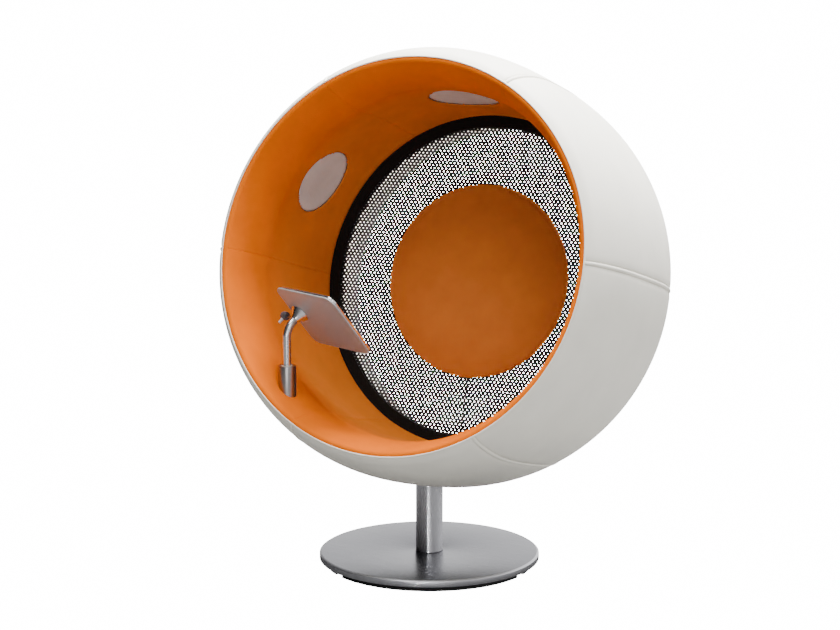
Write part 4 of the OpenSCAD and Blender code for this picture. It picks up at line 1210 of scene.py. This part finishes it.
def build_arm():
    """Socket on the pod, and the bent tube that turns in it."""
    place = arm_matrix()
    bore, lip, floor = TUBE_R + 0.0002, SOCKET_TOP - 0.001, SOCKET_TOP - 0.02
    socket = [
        (0.0, SOCKET_FOOT), (SOCKET_R, SOCKET_FOOT), (SOCKET_R, SOCKET_TOP), (TUBE_R + 0.006, SOCKET_TOP),
        (TUBE_R + 0.0045, lip), (bore, lip), (bore, floor), (0.0, floor),
    ]
    sleeve = turned("arm_socket_sleeve", rounded(socket, 0.0012), place)
    piece("arm_socket_sleeve", sleeve, FINISH["socket"], "pod", ["arm_socket"])
    foot, steps = SOCKET_FOOT + 0.0083, 20
    path = [place @ Vector((0, 0, z)) for z in np.linspace(foot, BEND_Z, 8)]
    for i in range(1, steps + 1):
        a = BEND * i / steps
        path.append(place @ Vector((0, BEND_R * (1 - math.cos(a)), BEND_Z + BEND_R * math.sin(a))))
    ahead = (head_matrix().to_3x3() @ Vector((0, 0, 1))).normalized()
    path.append(path[-1] + ahead * (TUBE_END - 0.0008))
    tube = swept("arm_bent_tube", path, TUBE_R, 56)
    piece("arm_bent_tube", tube, FINISH["polished"], "arm", ["arm_tube"])


def build_screen():
    """Bell, back plate, edge frame and dark glass."""
    head = head_matrix()
    neck, edge, flare, steps = 0.0009, 0.0008, 1.25, 14
    bell = [(0.0, neck), (TUBE_R - edge, neck), (TUBE_R, neck + edge)]
    for i in range(1, steps + 1):
        t = i / steps
        bell.append((TUBE_R + (BELL_R - TUBE_R) * t**flare, neck + (BELL_H - neck - 0.002) * t))
    bell += [(BELL_R, BELL_H - 0.0005), (BELL_R - 0.0005, BELL_H), (0.0, BELL_H)]
    cone = turned("screen_bell_cone", bell, head)
    piece("screen_bell_cone", cone, FINISH["polished"], "screen", ["screen_bell"])
    plate = head @ Matrix.Translation((BELL_LEFT, BELL_UP, BELL_H))
    size = (SCREEN_W, SCREEN_H, CORNER)
    layers = [(edge, 0.0), (0.0, edge), (0.0, BACK_T - edge), (edge, BACK_T)]
    back = rounded_plate("screen_back_plate", *size, layers, plate)
    piece("screen_back_plate", back, FINISH["alu"], "screen", ["screen_back"])
    # a dark seam, then the bright frame round the glass
    seal, top = BACK_T + 0.0010, BACK_T + GLASS_T
    layers = [
        (0.0015, BACK_T), (0.0015, seal), (0.0002, seal), (0.0, seal + edge),
        (0.0, top - edge), (0.0006, top - 0.0002), (0.0016, top - 0.0004),
    ]
    frame_edge = rounded_plate("screen_edge", *size, layers, plate)
    piece("screen_edge", frame_edge, FINISH["edge"], "screen")
    rim = 0.0035
    layers = [(0.0, top - 0.003), (0.0, top - 0.0002), (0.0004, top)]
    pane = (SCREEN_W - 2 * rim, SCREEN_H - 2 * rim, CORNER - rim)
    glass = rounded_plate("screen_glass_face", *pane, layers, plate)
    piece("screen_glass_face", glass, FINISH["glass"], "screen", ["screen_glass"])


def build_lever():
    """The grey hub of the wing lever."""
    axis = head_matrix() @ Matrix.Translation((0, 0, LEVER_S)) @ Matrix.Rotation(-math.pi / 2, 4, "Y")
    hub = [
        (0.0, 0.0), (LEVER_D * 0.42, 0.0), (LEVER_D / 2, LEVER_L * 0.12), (LEVER_D / 2, LEVER_L * 0.85),
        (LEVER_D * 0.4, LEVER_L), (0.0, LEVER_L),
    ]
    place = axis @ Matrix.Translation((0, 0, LEVER_OUT))
    cap = turned("lever_hub_cap", rounded(hub, 0.0012), place, 64)
    piece("lever_hub_cap", cap, FINISH["lever"], "lever", ["lever_hub"])


# Finishes


def dress_nodes():
    """Gives each construction node that still shows its own material."""
    wanted = {
        "feet": ["base_feet", "base_grommet"],
        "hidden_steel": [
            "base_bolts", "column_foot", "column_cap", "spindle", "spindle_nut", "thrust_bearing",
            "bearing_hub", "hub_bolts", "cradle", "ring_screws", "pad_bolts", "amp_tray", "lever_stud",
        ],
        "nylon": ["hub_bushes", "arm_bushes"],
        "ply": ["front_hoop", "rear_hoop", "pad_board", "arm_foot"],
        "laminate": ["outer_shell", "inner_shell"],
        "frame_black": ["rear_bulkhead"],
        "leather": ["recess_liner"],
        "housing": ["speaker_drivers", "speaker_cans", "pad_exciters"],
        "heatsink": ["amplifier"],
        "cable": ["pad_lead"],
        "polished": ["arm_spigot"],
        "lever_light": ["lever_arm"],
    }
    for finish, nodes in wanted.items():
        for name in nodes:
            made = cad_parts[name]
            made.data.materials.clear()
            made.data.materials.append(FINISH[finish])


def make_finishes():
    """Makes every material, each named for what the real one is."""
    c = COLOURS
    FINISH.update(
        leather=pigmented_leather("leather_cover", c.leather),
        thread=woven_cloth("thread_polyester", lin("#D8D3C6"), 0.0008),
        # the lining's colour runs from net to lip as painted light
        lining=napped_microfibre("microfibre_lining", c.lining, c.lip),
        pad=napped_microfibre("microfibre_pad", c.pad),
        grille=woven_cloth("acoustic_cloth", c.grille),
        ring=moulded_plastic("ring_nylon", lin("#86684C")),
        net=woven_cloth("net_polyester", c.net, 0.0008),
        net_edge=woven_cloth("net_edge_tape", lin("#0B0B0C"), 0.0012),
        housing=moulded_plastic("abs_black", lin("#202022"), 0.55),
        frame_black=moulded_plastic("powder_coat_black", lin("#18181A"), 0.6, 500.0),
        column=brushed_metal("stainless_column", c.steel, 0.36, (60.0, 60.0, 1.0), 0.03, 1.0, 0.8),
        plate=brushed_metal("stainless_blasted", c.plate, 0.30, (1.0, 30.0, 30.0), 0.04),
        bevel=brushed_metal("stainless_ground", lin("#B4B4B9"), 0.34, (20.0, 20.0, 1.0), 0.03),
        socket=brushed_metal("stainless_socket", lin("#989494"), 0.30, (60.0, 60.0, 1.0)),
        polished=brushed_metal("stainless_polished", lin("#D2D2D4"), 0.24, (20.0, 20.0, 20.0), 0.02),
        alu=brushed_metal("aluminium_brushed", lin("#A0A2A4"), 0.42, (2.0, 40.0, 40.0), 0.04, 0.35),
        edge=brushed_metal("aluminium_edge", lin("#D6D5D4"), 0.22, (10.0, 10.0, 10.0), 0.03),
        hidden_steel=brushed_metal("steel_machined", lin("#8E8E92"), 0.35),
        heatsink=brushed_metal("aluminium_anodised", lin("#303034"), 0.45, streak=0.08),
        feet=moulded_plastic("rubber_black", lin("#111112"), 0.85, 300.0),
        cable=moulded_plastic("cable_rubber", lin("#0B0B0C"), 0.7, 300.0),
        nylon=moulded_plastic("nylon_natural", lin("#D8D2C0"), 0.5),
        laminate=moulded_plastic("glass_laminate", lin("#B8A890"), 0.6, 120.0),
        lever=moulded_plastic("lever_grip", lin("#4A4C52"), 0.45),
        lever_light=moulded_plastic("lever_wing", lin("#B9B2B4"), 0.4),
        ply=birch_ply("birch_plywood", lin("#C8B48C")),
        glass=black_glass("display_glass", lin("#08090B")),
    )


# Stage

CAMERA_AT = (3.2966, -6.5945, 2.1431)
CAMERA_AHEAD = (-0.4439853, 0.87888306, -0.17447529)
CAMERA_UP = (-0.07867116, 0.15573206, 0.98466155)
LENS, SENSOR = 97.85, 36.0


def area_light(name, at, towards, size, power, spread=math.pi):
    """A round soft lamp that the camera doesn't see."""
    light = bpy.data.lights.new(name, "AREA")
    light.shape, light.size, light.energy, light.spread = "DISK", size, power, spread
    made = bpy.data.objects.new(name, light)
    made.location = at
    made.rotation_mode = "QUATERNION"
    made.rotation_quaternion = (Vector(towards) - Vector(at)).to_track_quat("-Z", "Y")
    made.visible_camera = False
    bpy.context.scene.collection.objects.link(made)
    return made


# strength of the ground and backdrop as the camera sees them: blown out to pure white
WHITE = 16.0


def seen_white(tree, lit, kind):
    """White where the camera looks, and lit for every other ray."""
    white = add(tree, kind, {"Strength": WHITE, "Color": (1, 1, 1, 1)})
    seen = add(tree, "ShaderNodeLightPath").outputs["Is Camera Ray"]
    return add(tree, "ShaderNodeMixShader", links={0: seen, 1: lit, 2: white.outputs[0]}).outputs[0]


def build_floor():
    """A plain floor that is seen white and throws little light back."""
    size = 30.0
    corners = [(-size, -size, 0), (size, -size, 0), (size, size, 0), (-size, size, 0)]
    floor = bpy.data.objects.new("floor", mesh_from("floor", corners, [(0, 1, 2, 3)]))
    bpy.context.scene.collection.objects.link(floor)
    made, tree, shader, place = material("studio_floor", {"Roughness": 0.9, "Specular IOR Level": 0.0})
    clouds = add(tree, "ShaderNodeTexNoise", {"Scale": 0.7}, {"Vector": place})
    grey = two_tones(tree, clouds.outputs["Fac"], (0.175, 0.175, 0.175, 1), (0.185, 0.185, 0.185, 1))
    feed(tree, shader, {"Base Color": grey})
    out = next(n for n in tree.nodes if n.type == "OUTPUT_MATERIAL")
    tree.links.new(seen_white(tree, shader.outputs[0], "ShaderNodeEmission"), out.inputs["Surface"])
    floor.data.materials.append(made)


def build_world():
    """A lit backdrop behind the chair, a paler wall at its right and a black flag at its left."""
    world = bpy.data.worlds.new("studio")
    world.use_nodes = True
    bpy.context.scene.world = world
    tree = world.node_tree
    tree.nodes.clear()
    ways = add(tree, "ShaderNodeTexCoord").outputs["Generated"]
    split = add(tree, "ShaderNodeSeparateXYZ", links={"Vector": ways})
    behind = add(tree, "ShaderNodeMath", {1: 0.0}, {0: split.outputs["Y"]}, operation="MAXIMUM")
    beside = add(tree, "ShaderNodeMath", {1: 0.0}, {0: split.outputs["X"]}, operation="MAXIMUM")
    backdrop = add(tree, "ShaderNodeMath", {1: 2.3, 2: 0.1}, {0: behind.outputs[0]}, operation="MULTIPLY_ADD")
    # the flag draws the dark edge of the column
    flag = add(
        tree,
        "ShaderNodeMapRange",
        {"From Min": -0.9, "From Max": -0.5, "To Min": 0.0, "To Max": 1.0},
        {"Value": split.outputs["X"]},
        interpolation_type="SMOOTHSTEP",
    )
    both = {0: backdrop.outputs[0], 1: flag.outputs["Result"]}
    flagged = add(tree, "ShaderNodeMath", links=both, operation="MULTIPLY")
    sides = {0: beside.outputs[0], 2: flagged.outputs[0]}
    walls = add(tree, "ShaderNodeMath", {1: 1.35}, sides, operation="MULTIPLY_ADD")
    soft = add(tree, "ShaderNodeBackground", {"Color": (1, 1, 1, 1)}, {"Strength": walls.outputs[0]})
    shown = seen_white(tree, soft.outputs[0], "ShaderNodeBackground")
    add(tree, "ShaderNodeOutputWorld", links={"Surface": shown})


def light_recess():
    """Four small lamps behind the net that whiten the walls of the recess, and nothing else."""
    walls = bpy.data.collections.new("recess_walls")
    for lit in (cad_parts["recess_liner"], bpy.data.objects["cover_leather"]):
        walls.objects.link(lit)
    matrix = pod_matrix()
    lamp_at, lamp_s, wall_at, wall_s = -0.42, -0.72, 0.57, -0.47
    for number, turn in enumerate((1.95, 2.75, 3.5, 4.25)):
        away = Vector((math.cos(turn), math.sin(turn), 0))
        at = matrix @ (away * lamp_at + Vector((0, 0, lamp_s)))
        towards = matrix @ (away * wall_at + Vector((0, 0, wall_s)))
        lamp = area_light(f"recess_{number + 1}", at, towards, 0.2, 8, math.radians(50))
        lamp.light_linking.receiver_collection = walls


def build_lights():
    """Big soft lamps above and in front, and a narrow one for the column."""
    centre = (0, 0, 1.0)
    area_light("overhead", (0.3, -1.4, 5.4), centre, 3.4, 250)
    area_light("overhead_rear", (0.4, 1.4, 5.2), centre, 3.0, 1240)
    area_light("front_high", (4.6, -5.5, 4.6), centre, 2.5, 76)
    area_light("front_low", (2.4, -5.8, 0.7), centre, 2.0, 73)
    # a narrow lamp by the floor draws the bright line of the column
    area_light("column_line", (0.85, -2.6, 0.22), (0, 0, 0.13), 0.25, 0.06, math.radians(6))
    light_recess()


def build_camera():
    """The photograph's camera, solved from the round edges of the base, the pod, the net and the pad."""
    lens = bpy.data.cameras.new("camera")
    lens.lens, lens.sensor_width, lens.sensor_fit = LENS, SENSOR, "HORIZONTAL"
    camera = bpy.data.objects.new("camera", lens)
    ahead, up = Vector(CAMERA_AHEAD).normalized(), Vector(CAMERA_UP).normalized()
    right = ahead.cross(up).normalized()
    up = right.cross(ahead)
    camera.matrix_world = Matrix.Translation(CAMERA_AT) @ Matrix((right, up, -ahead)).transposed().to_4x4()
    bpy.context.scene.collection.objects.link(camera)
    bpy.context.scene.camera = camera


def build_stage():
    """Pale floor, soft light from above and the photograph's camera."""
    build_floor()
    build_world()
    build_lights()
    build_camera()


# Operators, panel and registration


class POD_OT_finishes(bpy.types.Operator):
    """Make every material and give the construction nodes theirs"""

    bl_idname = "pod_chair.finishes"
    bl_label = "Finishes"

    def execute(self, context):
        make_finishes()
        dress_nodes()
        return {"FINISHED"}


class POD_OT_cover(bpy.types.Operator):
    """Sew the leather cover with its bands, stitches and piping"""

    bl_idname = "pod_chair.cover"
    bl_label = "Leather cover"

    def execute(self, context):
        build_cover()
        build_piping()
        return {"FINISHED"}


class POD_OT_lining(bpy.types.Operator):
    """Pad the lining and set the loudspeaker windows into it"""

    bl_idname = "pod_chair.lining"
    bl_label = "Padded lining"

    def execute(self, context):
        build_lining()
        build_windows()
        return {"FINISHED"}


class POD_OT_net(bpy.types.Operator):
    """Stretch the net and finish the rear"""

    bl_idname = "pod_chair.net"
    bl_label = "Net and rear"

    def execute(self, context):
        build_net()
        build_rear()
        return {"FINISHED"}


class POD_OT_back_pad(bpy.types.Operator):
    """Stuff the round back pad"""

    bl_idname = "pod_chair.back_pad"
    bl_label = "Back pad"

    def execute(self, context):
        build_back_pad()
        return {"FINISHED"}


class POD_OT_stand(bpy.types.Operator):
    """Turn the base plate and the column"""

    bl_idname = "pod_chair.stand"
    bl_label = "Stand"

    def execute(self, context):
        build_stand()
        return {"FINISHED"}


class POD_OT_arm(bpy.types.Operator):
    """Make the swinging arm with its screen and lever"""

    bl_idname = "pod_chair.arm"
    bl_label = "Arm and screen"

    def execute(self, context):
        build_arm()
        build_screen()
        build_lever()
        return {"FINISHED"}


class POD_OT_stage(bpy.types.Operator):
    """Set up the floor, the light and the camera"""

    bl_idname = "pod_chair.stage"
    bl_label = "Stage"

    def execute(self, context):
        build_stage()
        return {"FINISHED"}


STEPS = (
    POD_OT_finishes, POD_OT_cover, POD_OT_lining, POD_OT_net, POD_OT_back_pad, POD_OT_stand, POD_OT_arm,
    POD_OT_stage,
)


class POD_PT_sidebar(bpy.types.Panel):
    """Lists the steps and the settings"""

    bl_label = "Pod Chair"
    bl_idname = "POD_PT_sidebar"
    bl_space_type = "VIEW_3D"
    bl_region_type = "UI"
    bl_category = "Pod Chair"

    def draw(self, context):
        for step in STEPS:
            self.layout.operator(step.bl_idname)
        for group in ("pod_shape", "pod_net", "pod_colours"):
            settings = getattr(context.scene, group)
            for key in settings.bl_rna.properties.keys():
                if key not in ("rna_type", "name"):
                    self.layout.prop(settings, key)


GROUPS = {"pod_shape": PodShape, "pod_net": NetShape, "pod_colours": PodColours}
FINISH, TREES = {}, {}
POD = NET = COLOURS = OUTLINE = None


def register():
    for group in GROUPS.values():
        bpy.utils.register_class(group)
    for step in (*STEPS, POD_PT_sidebar):
        bpy.utils.register_class(step)
    for key, group in GROUPS.items():
        setattr(bpy.types.Scene, key, bpy.props.PointerProperty(type=group))


def unregister():
    for key in GROUPS:
        delattr(bpy.types.Scene, key)
    for step in (POD_PT_sidebar, *reversed(STEPS)):
        bpy.utils.unregister_class(step)
    for group in reversed(GROUPS.values()):
        bpy.utils.unregister_class(group)


def main():
    """Registers the add-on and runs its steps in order."""
    global POD, NET, COLOURS, OUTLINE
    register()
    scene = bpy.context.scene
    POD, NET, COLOURS = scene.pod_shape, scene.pod_net, scene.pod_colours
    OUTLINE = PodOutline()
    TREES["set_out"], TREES["net"] = set_out_tree(), net_tree()
    bpy.ops.pod_chair.finishes()
    bpy.ops.pod_chair.cover()
    bpy.ops.pod_chair.lining()
    bpy.ops.pod_chair.net()
    bpy.ops.pod_chair.back_pad()
    bpy.ops.pod_chair.stand()
    bpy.ops.pod_chair.arm()
    bpy.ops.pod_chair.stage()


if __name__ == "__main__":
    main()
